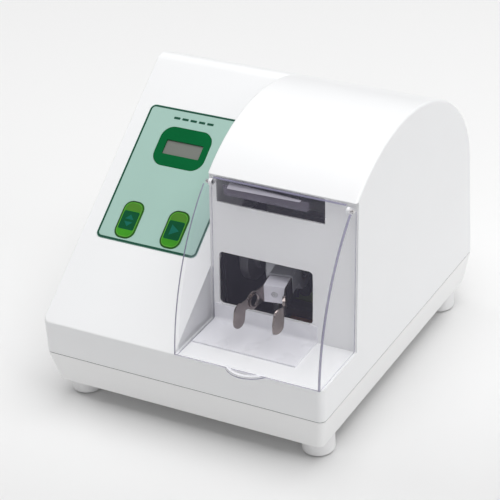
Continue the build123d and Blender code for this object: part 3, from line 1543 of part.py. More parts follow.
def make_power_rocker():
    """A key that rocks about its level pin; it lies switched off."""
    half = rocker_height / 2
    rise = half * tan(radians(rocker_throw / 2))
    face = 5.6
    low = 3.0
    side = polygon((-low, -half * 0.6), (face + rise * 0.2, -half), (face - rise * 0.6, 0),
                   (face + rise * 0.2, half), (-low, half * 0.6))
    key = side_prism(side, -rocker_width / 2, rocker_width / 2)
    pin_half = rocker_width / 2 + rocker_pin_reach
    pin = rod_x(rocker_pin_radius, -pin_half, pin_half, 0, 0)
    return Pos(rocker_x, rocker_pivot_y(), rocker_z) * Rot(rocker_throw / 2, 0, 0) * (key + pin)


# ---- wires -----------------------------------------------------------------------------
def wire(points, bend, radius):
    path = FilletPolyline(*points, radius=bend)
    section = Plane(origin=path @ 0, z_dir=path % 0) * Circle(radius)
    return sweep(section, path=path)


def terminal_port(n):
    """The mouth of one way of the terminal block, as (x, y, z)."""
    x = transformer_x - terminal_width / 2 + terminal_width / terminal_ways * (n + 0.5)
    return x, power_board_y + board_thickness + terminal_depth, terminal_z + terminal_height * 0.35


def make_motor_leads():
    leads = []
    for n in (0, 1):
        x, mouth, z = terminal_port(n)
        cap_x = motor_rear_x - motor_cap_length
        turn_x = cap_x - 2 * wire_bend - lead_pitch * n
        run_y = mouth + 3 * wire_bend + lead_pitch * n
        motor_y = shaft_y + motor_radius / 2
        motor_z = shaft_z - lead_pitch / 2 + lead_pitch * n
        points = [(x, mouth - 4, z), (x, run_y, z), (turn_x, run_y, z),
                  (turn_x, motor_y, motor_z), (cap_x, motor_y, motor_z)]
        leads.append(wire(points, wire_bend, wire_radius))
    return leads


def make_mains_leads():
    """From the inlet's rear to the terminal block, and to the power switch."""
    inlet_rear = housing_depth + inlet_flange - inlet_body_depth
    switch_rear_y = housing_depth + rocker_flange - rocker_body_depth
    leads = []
    for n in (0, 1):
        x, mouth, z = terminal_port(n + 3)
        inlet_tab_x = inlet_x + lead_pitch * n
        turn_y = inlet_rear - 2.5 * lead_loop - lead_pitch * n
        points = [(x, mouth - 4, z), (x, turn_y, z), (inlet_tab_x, turn_y, inlet_z),
                  (inlet_tab_x, inlet_rear, inlet_z)]
        leads.append(wire(points, wire_bend, wire_radius))
        level = inlet_z + lead_pitch * (2 * n - 1)
        loop_y = inlet_rear - lead_loop - lead_pitch * n
        from_x = inlet_x - drawer_offset + lead_pitch * (n - 0.5)
        points = [(from_x, inlet_rear, level), (from_x, loop_y, level), (rocker_x, loop_y, level),
                  (rocker_x, switch_rear_y, level)]
        leads.append(wire(points, wire_bend, wire_radius))
    return leads


# ---- the pieces ------------------------------------------------------------------------
def make_pieces():
    return {
        "upper_housing": make_upper_housing(),
        "base_tray": make_base_tray(),
        "feet": make_feet(),
        "foot_pads": make_foot_pads(),
        "foot_screws": make_foot_screws(),
        "housing_screws": make_housing_screws(),
        "chamber_liner": make_chamber_liner(),
        "label_panel": make_label_panel(),
        "display_bezel": make_display_bezel(),
        "display_glass": make_display_glass(),
        "control_board": make_control_board(),
        "control_board_parts": [make_display_holder(), make_buzzer(), *make_control_chips()],
        "membrane_circuit": make_membrane_circuit(),
        "snap_domes": make_snap_domes(),
        "set_key": make_key(left_key_x),
        "start_key": make_key(right_key_x),
        "clear_cover": make_clear_cover(),
        "hinge_pins": make_hinge_pins(),
        "interlock_switch": make_interlock_switch(),
        "switch_bracket": make_switch_bracket(),
        "switch_plunger": make_switch_plunger(),
        "small_screws": make_switch_screws() + make_control_board_screws(),
        "drive_shaft": make_drive_shaft(),
        "motor_rotor": make_motor_rotor(),
        "commutator": make_commutator(),
        "flywheel": [make_flywheel(), make_set_screw()],
        "crank_sleeve": make_crank_sleeve(),
        "rocker_hub": make_rocker_hub(),
        "hub_bearings": make_hub_bearings(),
        "retaining_rings": make_retaining_rings(),
        "guide_pin": make_guide_pin(),
        "clip_block": make_clip_block(),
        "capsule_clip": make_capsule_clip(),
        "clip_screw": make_clip_screw(),
        "motor_can": make_motor_can(),
        "motor_end_cap": make_motor_end_cap(),
        "motor_bearings": make_motor_bearings(),
        "motor_magnets": make_motor_magnets(),
        "bracket_screws": make_motor_screws() + make_guide_screws(),
        "motor_bracket": make_motor_bracket(),
        "rubber_mounts": make_rubber_mounts(),
        "base_screws": make_base_screws(),
        "bearing_pillar": make_bearing_pillar(),
        "outboard_bearing": make_outboard_bearing(),
        "guide_bar": make_guide_bar(),
        "power_board": make_power_board(),
        "power_board_parts": make_board_capacitors() + [make_terminal_block(), make_triac()],
        "board_brackets": make_board_brackets() + make_board_screws(),
        "transformer_core": make_transformer_core(),
        "transformer_winding": make_transformer_winding(),
        "heat_sink": make_heat_sink(),
        "motor_leads": make_motor_leads(),
        "mains_leads": make_mains_leads(),
        "mains_inlet": make_mains_inlet(),
        "inlet_pins": make_inlet_pins(),
        "inlet_screws": make_inlet_screws(),
        "fuse_drawer": make_fuse_drawer(),
        "fuse": make_fuse(),
        "power_switch_frame": make_switch_frame(),
        "power_rocker": make_power_rocker(),
    }


def main():
    rear_reach = housing_depth + inlet_flange + screw_head_height
    origin = Pos(-housing_width / 2, -(rear_reach - tab_reach) / 2, 0)
    for name, piece in make_pieces().items():
        solids = piece if isinstance(piece, list) else [piece]
        group = Compound(children=[origin * solid for solid in solids])
        export_step(group, f"parts/{name}.step")


if __name__ == "__main__":
    main()
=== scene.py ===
import bpy
import math
from mathutils import Matrix, Vector


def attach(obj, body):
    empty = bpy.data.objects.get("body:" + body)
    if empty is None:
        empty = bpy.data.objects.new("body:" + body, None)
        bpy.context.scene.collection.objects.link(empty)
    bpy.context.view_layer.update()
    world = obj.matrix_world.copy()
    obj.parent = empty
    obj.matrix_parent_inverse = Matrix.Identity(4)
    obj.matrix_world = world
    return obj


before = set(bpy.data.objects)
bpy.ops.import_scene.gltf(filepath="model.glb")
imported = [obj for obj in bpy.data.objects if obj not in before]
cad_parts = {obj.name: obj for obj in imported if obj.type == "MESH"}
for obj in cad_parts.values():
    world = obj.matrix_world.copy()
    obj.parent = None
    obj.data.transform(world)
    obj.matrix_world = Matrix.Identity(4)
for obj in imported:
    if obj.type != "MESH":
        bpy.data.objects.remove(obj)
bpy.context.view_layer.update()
print("frame loaded")

# Lengths are millimetres until placed; the housing's front left corner on the table is (0, 0, 0).
mm = 0.001
housingSize = {"width": 205.0, "depth": 228.0, "bandTop": 60.0, "slope": math.radians(35.5)}
frontCurve = {"apexY": 128.0, "centreZ": 40.0, "halfY": 129.2, "halfZ": 147.0}
frameShift = Vector((-102.5, -112.85, 0.0))


def place(x, y, z):
    return (Vector((x, y, z)) + frameShift) * mm


def onSlope(x, along, height):
    cosA, sinA = math.cos(housingSize["slope"]), math.sin(housingSize["slope"])
    return place(x, along * cosA - height * sinA,
                 housingSize["bandTop"] + along * sinA + height * cosA)


# Finishes of the pieces, in linear colours. A look gives only what differs from plainLook.

plainLook = {
    "metal": 0.0, "ior": 1.45, "specular": 0.5, "coat": 0.0, "coatRough": 0.1, "alpha": 1.0,
    "rough": 0.4, "roughVary": 0.0, "roughScale": 60, "roughDetail": 4.0,
    "vary": 0.0, "varyScale": 30, "varyDetail": 5.0, "varyEnds": (0.3, 0.7),
    "bump": 0.0, "bumpScale": 900, "bumpDetail": 3.0, "bumpDepth": 0.0002,
    "stretch": (1, 1, 1),
}
shaderSockets = {
    "Metallic": "metal", "IOR": "ior", "Specular IOR Level": "specular", "Coat Weight": "coat",
    "Coat Roughness": "coatRough", "Alpha": "alpha", "Roughness": "rough",
}


def noiseNode(nodes, links, coords, look, kind):
    mapping = nodes.new("ShaderNodeMapping")
    mapping.inputs["Scale"].default_value = look["stretch"]
    noise = nodes.new("ShaderNodeTexNoise")
    noise.inputs["Scale"].default_value = look[kind + "Scale"]
    noise.inputs["Detail"].default_value = look[kind + "Detail"]
    links.new(coords.outputs["Object"], mapping.inputs["Vector"])
    links.new(mapping.outputs["Vector"], noise.inputs["Vector"])
    return noise


def makeMaterial(name, ownLook):
    look = {**plainLook, **ownLook}
    material = bpy.data.materials.new(name)
    material.use_nodes = True
    nodes, links = material.node_tree.nodes, material.node_tree.links
    shader = nodes["Principled BSDF"]
    shader.inputs["Base Color"].default_value = (*look["color"], 1.0)
    for socket, key in shaderSockets.items():
        shader.inputs[socket].default_value = look[key]
    coords = nodes.new("ShaderNodeTexCoord")
    if look["vary"]:
        noise = noiseNode(nodes, links, coords, look, "vary")
        ramp = nodes.new("ShaderNodeValToRGB")
        low, high = ramp.color_ramp.elements
        low.position, high.position = look["varyEnds"]
        low.color = (*[c * (1 - look["vary"]) for c in look["color"]], 1)
        high.color = (*[min(1.0, c * (1 + look["vary"])) for c in look["color"]], 1)
        links.new(noise.outputs["Fac"], ramp.inputs["Fac"])
        links.new(ramp.outputs["Color"], shader.inputs["Base Color"])
    if look["roughVary"]:
        noise = noiseNode(nodes, links, coords, look, "rough")
        span = nodes.new("ShaderNodeMapRange")
        span.inputs["To Min"].default_value = max(0.0, look["rough"] - look["roughVary"])
        span.inputs["To Max"].default_value = min(1.0, look["rough"] + look["roughVary"])
        links.new(noise.outputs["Fac"], span.inputs["Value"])
        links.new(span.outputs["Result"], shader.inputs["Roughness"])
    if look["bump"]:
        noise = noiseNode(nodes, links, coords, look, "bump")
        bump = nodes.new("ShaderNodeBump")
        bump.inputs["Strength"].default_value = look["bump"]
        bump.inputs["Distance"].default_value = look["bumpDepth"]
        links.new(noise.outputs["Fac"], bump.inputs["Height"])
        links.new(bump.outputs["Normal"], shader.inputs["Normal"])
    return material


whitePlastic = {
    "rough": 0.32, "roughVary": 0.05, "vary": 0.006, "varyScale": 18,
    "bump": 0.12, "bumpScale": 1400, "bumpDepth": 0.0001, "coat": 0.15, "coatRough": 0.2,
}
brightSteel = {
    "metal": 1.0, "rough": 0.28, "roughVary": 0.08, "vary": 0.05, "varyScale": 150, "bump": 0.12,
}
darkPlastic = {
    "rough": 0.45, "roughVary": 0.08, "vary": 0.1, "varyScale": 60, "bump": 0.25, "bumpScale": 1500,
}
sheetPrint = {
    "rough": 0.5, "roughVary": 0.05, "vary": 0.05, "varyScale": 60,
    "bump": 0.1, "bumpScale": 1800, "bumpDepth": 0.00006,
}
keyPrint = {
    "rough": 0.45, "specular": 0.2, "roughVary": 0.05, "vary": 0.06, "varyScale": 120,
    "bump": 0.1, "bumpScale": 1500, "bumpDepth": 0.00006,
}
cutEdge = {
    "rough": 0.12, "roughVary": 0.04, "vary": 0.06, "varyScale": 90, "coat": 0.4, "coatRough": 0.05,
}
leadSleeve = {"roughVary": 0.06, "vary": 0.08, "varyScale": 90, "bump": 0.1}

looks = {
    # housing and feet
    "housingWhite": {**whitePlastic, "color": (0.90, 0.905, 0.915)},
    # painted light: the housing's white plastic made paler to lift the tray's shaded face
    "trayLitWhite": {**whitePlastic, "color": (0.93, 0.93, 0.93)},
    "footWhite": {**whitePlastic, "color": (0.86, 0.86, 0.865), "rough": 0.45},
    "linerWhite": {**whitePlastic, "color": (0.84, 0.84, 0.88), "rough": 0.28},
    "padRubber": {
        "color": (0.05, 0.05, 0.055), "rough": 0.8, "roughVary": 0.1, "vary": 0.15,
        "bump": 0.4, "bumpScale": 1200,
    },
    # painted shade in the joint between the housing and the tray
    "seamShade": {
        "color": (0.10, 0.10, 0.105), "rough": 0.7, "roughVary": 0.1,
        "vary": 0.1, "varyScale": 60, "bump": 0.2,
    },
    # metals, magnets and windings
    "screwSteel": {
        **brightSteel, "color": (0.55, 0.55, 0.57), "rough": 0.35, "roughVary": 0.1,
        "vary": 0.06, "varyScale": 200, "bump": 0.15, "bumpScale": 1500,
    },
    "turnedSteel": {
        **brightSteel, "color": (0.62, 0.61, 0.60), "stretch": (8, 1, 1), "bumpScale": 700,
    },
    "sheetSteel": {
        **brightSteel, "color": (0.58, 0.57, 0.56), "rough": 0.38, "roughVary": 0.1,
        "vary": 0.06, "varyScale": 90, "stretch": (1, 1, 6), "bumpScale": 600,
    },
    "springSteel": {
        **brightSteel, "color": (0.25, 0.215, 0.205), "rough": 0.22, "roughVary": 0.1,
        "vary": 0.14, "varyScale": 120, "bump": 0.18, "bumpScale": 500,
    },
    "bearingSteel": {
        **brightSteel, "color": (0.62, 0.62, 0.64), "rough": 0.16, "roughVary": 0.06,
        "vary": 0.04, "varyScale": 200, "bump": 0.05,
    },
    "canSteel": {
        **brightSteel, "color": (0.30, 0.30, 0.32), "rough": 0.4, "roughVary": 0.1,
        "vary": 0.08, "varyScale": 60, "stretch": (6, 1, 1),
    },
    "brass": {**brightSteel, "color": (0.66, 0.53, 0.26), "vary": 0.06, "bump": 0.08},
    "copper": {
        **brightSteel, "color": (0.60, 0.31, 0.17), "rough": 0.3, "roughVary": 0.1,
        "vary": 0.08, "varyScale": 120, "bump": 0.1,
    },
    "castGrey": {
        "color": (0.56, 0.57, 0.60), "metal": 0.3, "rough": 0.45, "roughVary": 0.1,
        "vary": 0.05, "varyScale": 60, "bump": 0.3, "bumpScale": 1100,
    },
    "castIron": {
        "color": (0.20, 0.20, 0.21), "metal": 0.9, "rough": 0.5, "roughVary": 0.1,
        "vary": 0.12, "varyScale": 90, "bump": 0.3,
    },
    "ferrite": {
        "color": (0.07, 0.07, 0.075), "metal": 0.2, "rough": 0.6, "roughVary": 0.1,
        "vary": 0.2, "varyScale": 150, "bump": 0.3,
    },
    "winding": {
        "color": (0.58, 0.25, 0.10), "metal": 0.6, "rough": 0.35, "roughVary": 0.1,
        "vary": 0.2, "varyScale": 60, "stretch": (1, 1, 14), "bump": 0.6, "bumpScale": 220,
    },
    "coreIron": {
        "color": (0.17, 0.16, 0.16), "metal": 0.8, "rough": 0.5, "roughVary": 0.1,
        "vary": 0.18, "varyScale": 80, "stretch": (1, 14, 1), "bump": 0.5, "bumpScale": 260,
    },
    # label, display and keys
    "labelGreen": {
        **sheetPrint, "color": (0.37, 0.55, 0.49), "rough": 0.42, "specular": 0.3,
        "vary": 0.015, "varyScale": 25, "bump": 0.12,
    },
    "darkGreen": {**sheetPrint, "color": (0.001, 0.115, 0.032), "specular": 0.05},
    "borderGreen": {**sheetPrint, "color": (0.012, 0.075, 0.045), "specular": 0.15},
    "keyGreen": {**keyPrint, "color": (0.045, 0.29, 0.012), "roughVary": 0.06, "vary": 0.08},
    "keyDark": {
        **keyPrint, "color": (0.001, 0.08, 0.028), "rough": 0.5, "specular": 0.12,
        "vary": 0.08, "varyScale": 150,
    },
    "keyUpper": {**keyPrint, "color": (0.07, 0.22, 0.02)},
    "keySign": {**keyPrint, "color": (0.002, 0.13, 0.09)},
    "keyLine": {**keyPrint, "color": (0.11, 0.34, 0.045)},
    "olive": {**keyPrint, "color": (0.022, 0.06, 0.012), "rough": 0.5, "vary": 0.08},
    "displayGlass": {
        "color": (0.20, 0.21, 0.19), "rough": 0.12, "roughVary": 0.03,
        "vary": 0.03, "varyScale": 40, "coat": 0.6, "coatRough": 0.05, "bump": 0.02,
    },
    # clear cover
    "clearPlastic": {
        "color": (0.66, 0.64, 0.86), "rough": 0.05, "roughVary": 0.02, "vary": 0.01,
        "alpha": 0.03, "ior": 1.5, "coat": 0.5, "coatRough": 0.03,
    },
    "clearEdge": {**cutEdge, "color": (0.26, 0.25, 0.36), "alpha": 0.8},
    "clearLine": {**cutEdge, "color": (0.46, 0.45, 0.56), "alpha": 0.6},
    "clearGlint": {
        **cutEdge, "color": (0.88, 0.88, 0.92), "rough": 0.1, "roughVary": 0.03,
        "vary": 0.03, "alpha": 0.85,
    },
    # painted shade and sheen of the clear tongue in its slot
    "tongueShadeAndSheen": {
        "color": (0.17, 0.155, 0.20), "rough": 0.3, "roughVary": 0.08,
        "vary": 0.22, "varyScale": 70, "stretch": (0.3, 1, 1), "alpha": 0.8, "specular": 0.3,
    },
    "tongueGlint": {
        "color": (0.40, 0.385, 0.44), "rough": 0.2, "roughVary": 0.05,
        "vary": 0.08, "varyScale": 60, "alpha": 0.85, "coat": 0.3, "coatRough": 0.08,
    },
    # dark plastics, boards, leads and other pieces inside and behind
    "blackPlastic": {**darkPlastic, "color": (0.018, 0.018, 0.02)},
    "glossBlack": {
        **darkPlastic, "color": (0.02, 0.02, 0.022), "rough": 0.2, "roughVary": 0.05,
        "vary": 0.08, "bump": 0.08, "bumpScale": 1200,
    },
    "bracketDark": {
        **darkPlastic, "color": (0.03, 0.03, 0.034), "metal": 0.4, "rough": 0.5,
        "roughVary": 0.1, "vary": 0.15, "varyScale": 70, "bump": 0.2, "bumpScale": 1300,
    },
    "board": {
        "color": (0.20, 0.26, 0.07), "roughVary": 0.08,
        "vary": 0.22, "varyScale": 220, "bump": 0.35, "bumpScale": 420,
    },
    "clipBlock": {
        "color": (0.74, 0.73, 0.80), "rough": 0.3, "roughVary": 0.06,
        "vary": 0.02, "varyScale": 60, "bump": 0.12, "bumpScale": 1200,
    },
    "guidePlastic": {
        "color": (0.66, 0.66, 0.60), "rough": 0.5, "roughVary": 0.08,
        "vary": 0.05, "varyScale": 80, "bump": 0.2,
    },
    "film": {
        "color": (0.45, 0.38, 0.20), "rough": 0.3, "roughVary": 0.06,
        "vary": 0.1, "varyScale": 90, "bump": 0.1,
    },
    "leadRed": {**leadSleeve, "color": (0.36, 0.02, 0.015)},
    "leadBlue": {**leadSleeve, "color": (0.02, 0.06, 0.26)},
    "fuseGlass": {
        "color": (0.80, 0.84, 0.82), "rough": 0.06, "roughVary": 0.02, "vary": 0.02,
        "alpha": 0.45, "coat": 0.5,
    },
}
materials = {name: makeMaterial(name, look) for name, look in looks.items()}

lookNodes = {
    "housingWhite": ("upper_housing",),
    "trayLitWhite": ("base_tray",),
    "footWhite": ("feet",),
    "linerWhite": ("chamber_liner",),
    "padRubber": ("foot_pads", "rubber_mounts"),
    "screwSteel": ("foot_screws", "housing_screws", "small_screws", "clip_screw", "bracket_screws",
                   "base_screws", "inlet_screws"),
    "turnedSteel": ("hinge_pins", "drive_shaft", "crank_sleeve", "guide_pin"),
    "sheetSteel": ("switch_bracket", "retaining_rings", "board_brackets"),
    "springSteel": ("capsule_clip",),
    "bearingSteel": ("snap_domes", "hub_bearings", "motor_bearings", "outboard_bearing"),
    "canSteel": ("motor_can",),
    "brass": ("inlet_pins",),
    "copper": ("commutator",),
    "castGrey": ("rocker_hub", "bearing_pillar"),
    "castIron": ("motor_rotor", "flywheel", "heat_sink"),
    "ferrite": ("motor_magnets",),
    "winding": ("transformer_winding",),
    "coreIron": ("transformer_core",),
    "labelGreen": ("label_panel",),
    "darkGreen": ("display_bezel",),
    "keyGreen": ("set_key", "start_key"),
    "displayGlass": ("display_glass",),
    "clearPlastic": ("clear_cover",),
    "blackPlastic": ("control_board_parts", "interlock_switch", "motor_end_cap",
                     "power_board_parts", "mains_inlet", "power_switch_frame"),
    "glossBlack": ("switch_plunger", "fuse_drawer", "power_rocker"),
    "bracketDark": ("motor_bracket",),
    "board": ("control_board", "power_board"),
    "clipBlock": ("clip_block",),
    "guidePlastic": ("guide_bar",),
    "film": ("membrane_circuit",),
    "leadRed": ("motor_leads",),
    "leadBlue": ("mains_leads",),
    "fuseGlass": ("fuse",),
}
nodeLooks = {name: look for look, names in lookNodes.items() for name in names}
for name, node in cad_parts.items():
    node.data.materials.clear()
    node.data.materials.append(materials[nodeLooks[name]])
print("materials set on", len(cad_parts), "nodes")


# Print on the label and the keys.

cornerSteps = {"wide": 8, "tight": 3}  # points along a rounded corner


def roundedOutline(left, right, low, high, radius, steps=cornerSteps["wide"]):
    corners = (
        (right - radius, high - radius, 0), (left + radius, high - radius, 90),
        (left + radius, low + radius, 180), (right - radius, low + radius, 270),
    )
    points = []
    for cx, cy, start in corners:
        for n in range(steps + 1):
            angle = math.radians(start + 90 * n / steps)
            points.append((cx + radius * math.cos(angle), cy + radius * math.sin(angle)))
    return points


def makePiece(name, vertices, faces, look, body, smooth=False):
    mesh = bpy.data.meshes.new(name)
    mesh.from_pydata([tuple(v) for v in vertices], [], faces)
    mesh.update()
    for polygon in mesh.polygons:
        polygon.use_smooth = smooth
    piece = bpy.data.objects.new(name, mesh)
    bpy.context.scene.collection.objects.link(piece)
    mesh.materials.append(materials[look])
    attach(piece, body)
    return piece


def patchOnSlope(name, outlines, look, body, low, high):
    vertices, faces = [], []
    for outline in outlines:
        base, count = len(vertices), len(outline)
        for level in (high, low):
            vertices += [onSlope(x, along, level) for x, along in outline]
        faces.append(tuple(range(base, base + count)))
        faces.append(tuple(range(base + 2 * count - 1, base + count - 1, -1)))
        for n in range(count):
            after = (n + 1) % count
            faces.append((base + n, base + count + n, base + count + after, base + after))
    piece = makePiece(name, vertices, faces, look, body)


def ringOnSlope(name, outside, inside, look, body, low, high, slot):
    count = len(outside)
    vertices = []
    for outline, level in ((outside, high), (inside, high), (outside, low), (inside, low)):
        vertices += [onSlope(x, along, level) for x, along in outline]
    faces = []
    for n in range(count):
        after = (n + 1) % count
        faces.append((n, after, count + after, count + n))
        faces.append((2 * count + n, 3 * count + n, 3 * count + after, 2 * count + after))
        faces.append((n, 2 * count + n, 2 * count + after, after))
        faces.append((count + n, count + after, 3 * count + after, 3 * count + n))
    piece = makePiece(name, vertices, faces, look, body)


# The print starts a little under the label's face, so no gap shows; heights are over the slope.
labelSize = {
    "left": 11.5, "right": 88.0, "low": 65.5, "high": 167.5, "top": 0.2, "sunk": 0.02, "ink": 0.06,
    "borderOutside": (0.2, 0.2, 4.0), "borderInside": (1.5, 1.8, 2.6),  # sides, foot, corner
}
printLow, printHigh = labelSize["top"] - labelSize["sunk"], labelSize["top"] + labelSize["ink"]


def labelOutline(sides, foot, radius):
    return roundedOutline(labelSize["left"] + sides, labelSize["right"] - sides,
                          labelSize["low"] + foot, labelSize["high"] - sides, radius)


ringOnSlope("label_border", labelOutline(*labelSize["borderOutside"]),
            labelOutline(*labelSize["borderInside"]),
            "borderGreen", "housing", printLow, printHigh, "bezel_green")

# Plain strokes along the top of the label.
headingSize = {
    "left": 31.0, "right": 63.0, "low": 159.55, "high": 161.25, "gap": 1.6, "round": 0.45,
    "dashes": 5,
}
pitch = (headingSize["right"] - headingSize["left"]) / headingSize["dashes"]
dashes = []
for n in range(headingSize["dashes"]):
    start = headingSize["left"] + pitch * n + headingSize["gap"] / 2
    dashes.append(roundedOutline(start, start + pitch - headingSize["gap"], headingSize["low"],
                                 headingSize["high"], headingSize["round"], cornerSteps["tight"]))
patchOnSlope("label_dashes", dashes, "borderGreen", "housing", printLow, printHigh)

keyPlaces = {"set_key": 31.0, "start_key": 65.7}
keySize = {
    "halfWidth": 7.5, "low": 68.5, "high": 95.5, "radius": 6.0,
    "rim": (0.1, 0.75), "line": (1.15, 1.5), "inner": 1.6,  # distances in from the key's edge
    "fieldLow": 74.7, "fieldHigh": 88.0, "fieldRound": 1.2, "upperLow": 88.4,
    "top": 0.5, "rimLow": 0.3, "printLow": 0.48, "printHigh": 0.54, "fieldTop": 0.55,
    "signTop": 0.57,
}
keySigns = {
    "set_key": [[(27.8, 82.2), (34.2, 82.2), (31.0, 85.6)],
                [(27.8, 80.4), (31.0, 77.0), (34.2, 80.4)]],
    "start_key": [[(62.9, 77.6), (69.3, 81.4), (62.9, 85.2)]],
}


def keyOutline(x, inset):
    return roundedOutline(x - keySize["halfWidth"] + inset, x + keySize["halfWidth"] - inset,
                          keySize["low"] + inset, keySize["high"] - inset,
                          keySize["radius"] - inset)


for body, x in keyPlaces.items():
    low, high = keySize["printLow"], keySize["printHigh"]
    rim, line = ([keyOutline(x, inset) for inset in keySize[band]] for band in ("rim", "line"))
    ringOnSlope(body + "_rim", *rim, "olive", body, keySize["rimLow"], high, "key_green")
    ringOnSlope(body + "_line", *line, "keyLine", body, low, high, "key_green")
    leftX, rightX = (x + side * (keySize["halfWidth"] - keySize["inner"]) for side in (-1, 1))
    upper = [point for point in keyOutline(x, keySize["inner"]) if point[1] > keySize["upperLow"]]
    upper += [(leftX, keySize["upperLow"]), (rightX, keySize["upperLow"])]
    patchOnSlope(body + "_upper", [upper], "keyUpper", body, low, high)
    field = roundedOutline(leftX, rightX, keySize["fieldLow"], keySize["fieldHigh"],
                           keySize["fieldRound"], cornerSteps["tight"])
    patchOnSlope(body + "_field", [field], "keyDark", body, low, keySize["fieldTop"])
for body, outlines in keySigns.items():
    patchOnSlope(body + "_sign", outlines, "keySign", body,
                 keySize["top"], keySize["signTop"])
print("label printed")


# Cut edges of the clear cover, which show as violet lines.

coverSize = {
    "left": 100.9, "right": 203.8, "side": 2.0, "proud": 0.6, "floor": 60.4, "top": 161.4,
    "wallY": 47.5, "lean": 0.1021,  # rear edge of the sides, along the chamber's wall
}
lift = 0.03  # of a rim over the cover's face


def coverPoint(x, z, inset):
    halfY, halfZ = (frontCurve[half] + coverSize["proud"] for half in ("halfY", "halfZ"))
    angle = math.pi - math.asin((z - frontCurve["centreZ"]) / halfZ)
    return place(x, frontCurve["apexY"] + (halfY - inset) * math.cos(angle),
                 frontCurve["centreZ"] + (halfZ - inset) * math.sin(angle))


def rearPoint(x, z, forward):
    y = coverSize["wallY"] + (z - coverSize["floor"]) * coverSize["lean"]
    return place(x, y - forward, z)


def spread(low, high, steps):
    return [low + (high - low) * n / steps for n in range(steps + 1)]


def ribbonPiece(name, rows, look, body):
    count = len(rows[0])
    faces = []
    for r in range(len(rows) - 1):
        here, above = r * count, (r + 1) * count
        faces += [(here + n, here + n + 1, above + n + 1, above + n) for n in range(count - 1)]
    piece = makePiece(name, [v for row in rows for v in row], faces, look, body, True)


frontRimSize = {"leftBand": 0.9, "rightBand": 1.3, "back": 0.9, "top": 158.0, "steps": 48}
frontRims = {
    "left": (coverSize["left"] - lift, coverSize["left"] + frontRimSize["leftBand"]),
    "right": (coverSize["right"] + lift, coverSize["right"] - frontRimSize["rightBand"]),
}
levels = spread(coverSize["floor"], frontRimSize["top"], frontRimSize["steps"])
for side, (edge, inner) in frontRims.items():
    corners = ((inner, -lift), (edge, -lift), (edge, frontRimSize["back"]))
    rows = [[coverPoint(x, z, inset) for z in levels] for x, inset in corners]
    ribbonPiece("cover_rim_" + side, rows, "clearEdge", "cover")

# The top rim follows the hinge eye between the ears, then the curved face.
topRimSize = {
    "hingeY": 53.99, "hingeZ": 157.81, "eye": 3.7, "turns": (50, 60, 70, 80, 86),
    "ear": 5.0, "band": 0.5, "steps": 8,
}
topX = spread(coverSize["left"] + topRimSize["ear"], coverSize["right"] - topRimSize["ear"],
              topRimSize["steps"])
reach = topRimSize["eye"] + lift
rows = []
for degrees in topRimSize["turns"]:
    y = topRimSize["hingeY"] + reach * math.cos(math.radians(degrees))
    z = topRimSize["hingeZ"] + reach * math.sin(math.radians(degrees))
    rows.append([place(x, y, z) for x in topX])
for z in (coverSize["top"], coverSize["top"] - topRimSize["band"]):
    rows.append([coverPoint(x, z, -lift) for x in topX])
ribbonPiece("cover_rim_top", rows, "clearEdge", "cover")

bottomRimSize = {"band": 0.9, "steps": 8}
bottomX = spread(coverSize["left"], coverSize["right"], bottomRimSize["steps"])
bottomZ = (coverSize["floor"], coverSize["floor"] + bottomRimSize["band"])
rows = [[coverPoint(x, z, -lift) for x in bottomX] for z in bottomZ]
ribbonPiece("cover_rim_bottom", rows, "clearLine", "cover")

rearRims = {
    "left": {"face": coverSize["left"] + coverSize["side"] + lift, "look": "clearLine"},
    "right": {"face": coverSize["right"] + lift, "look": "clearEdge"},
}
rearRimSize = {"top": 156.5, "band": 0.9, "steps": 6}
footRimSize = {"y": (-0.5, 16, 32, coverSize["wallY"]), "band": 0.7}
levels = spread(coverSize["floor"], rearRimSize["top"], rearRimSize["steps"])
footZ = (coverSize["floor"], coverSize["floor"] + footRimSize["band"])
for side, rim in rearRims.items():
    rows = [[rearPoint(rim["face"], z, forward) for z in levels]
            for forward in (0, rearRimSize["band"])]
    ribbonPiece("cover_rear_rim_" + side, rows, rim["look"], "cover")
    rows = [[place(rim["face"], y, z) for y in footRimSize["y"]] for z in footZ]
    ribbonPiece("cover_foot_rim_" + side, rows, "clearLine", "cover")
print("cover rims made")

tabSize = {
    "x": 152.0, "centreY": 11.25, "radius": 18.75, "turns": (-140, -40), "steps": 32,
    "glint": (16.45, 18.25), "glintZ": 62.4, "rimZ": (61.5, 60.7),
}
tabAngles = [math.radians(a) for a in spread(*tabSize["turns"], tabSize["steps"])]


def tabRow(radius, z):
    return [place(tabSize["x"] + radius * math.cos(a), tabSize["centreY"] + radius * math.sin(a), z)
            for a in tabAngles]


glintRows = [tabRow(radius, tabSize["glintZ"] + lift) for radius in tabSize["glint"]]
ribbonPiece("tab_glint", glintRows, "clearGlint", "cover")
rimRows = [tabRow(tabSize["radius"] + lift, z) for z in tabSize["rimZ"]]
ribbonPiece("tab_rim", rimRows, "clearEdge", "cover")

# The tongue is a bent strip behind the cover's top edge; its face gets painted shade and sheen, and
# the light its flat top catches is a painted highlight.
tongueSize = {
    "left": 111.3, "right": 171.7, "tip": 148.81, "under": 155.9, "front": 56.49, "top": 158.41,
    "round": 3.0, "steps": 8,
}
tongueGlintCorners = ((118.5, 48.8), (168.5, 50.6), (168.5, 53.2), (116.0, 57.0))
radius = tongueSize["round"]
leftX, rightX = tongueSize["left"] + radius, tongueSize["right"] - radius
middleZ = tongueSize["tip"] + radius
angles = [math.radians(a) for a in spread(0, 90, tongueSize["steps"])]
lowerEdge = [(leftX - radius * math.cos(a), middleZ - radius * math.sin(a)) for a in angles]
lowerEdge += [(rightX + radius * math.sin(a), middleZ - radius * math.cos(a)) for a in angles]
faceY = tongueSize["front"] - lift
rows = [[place(x, faceY, z) for x, z in lowerEdge],
        [place(x, faceY, tongueSize["under"]) for x, _ in lowerEdge]]
ribbonPiece("tongue_face", rows, "tongueShadeAndSheen", "cover")
glintPoints = [place(x, y, tongueSize["top"] + lift) for x, y in tongueGlintCorners]
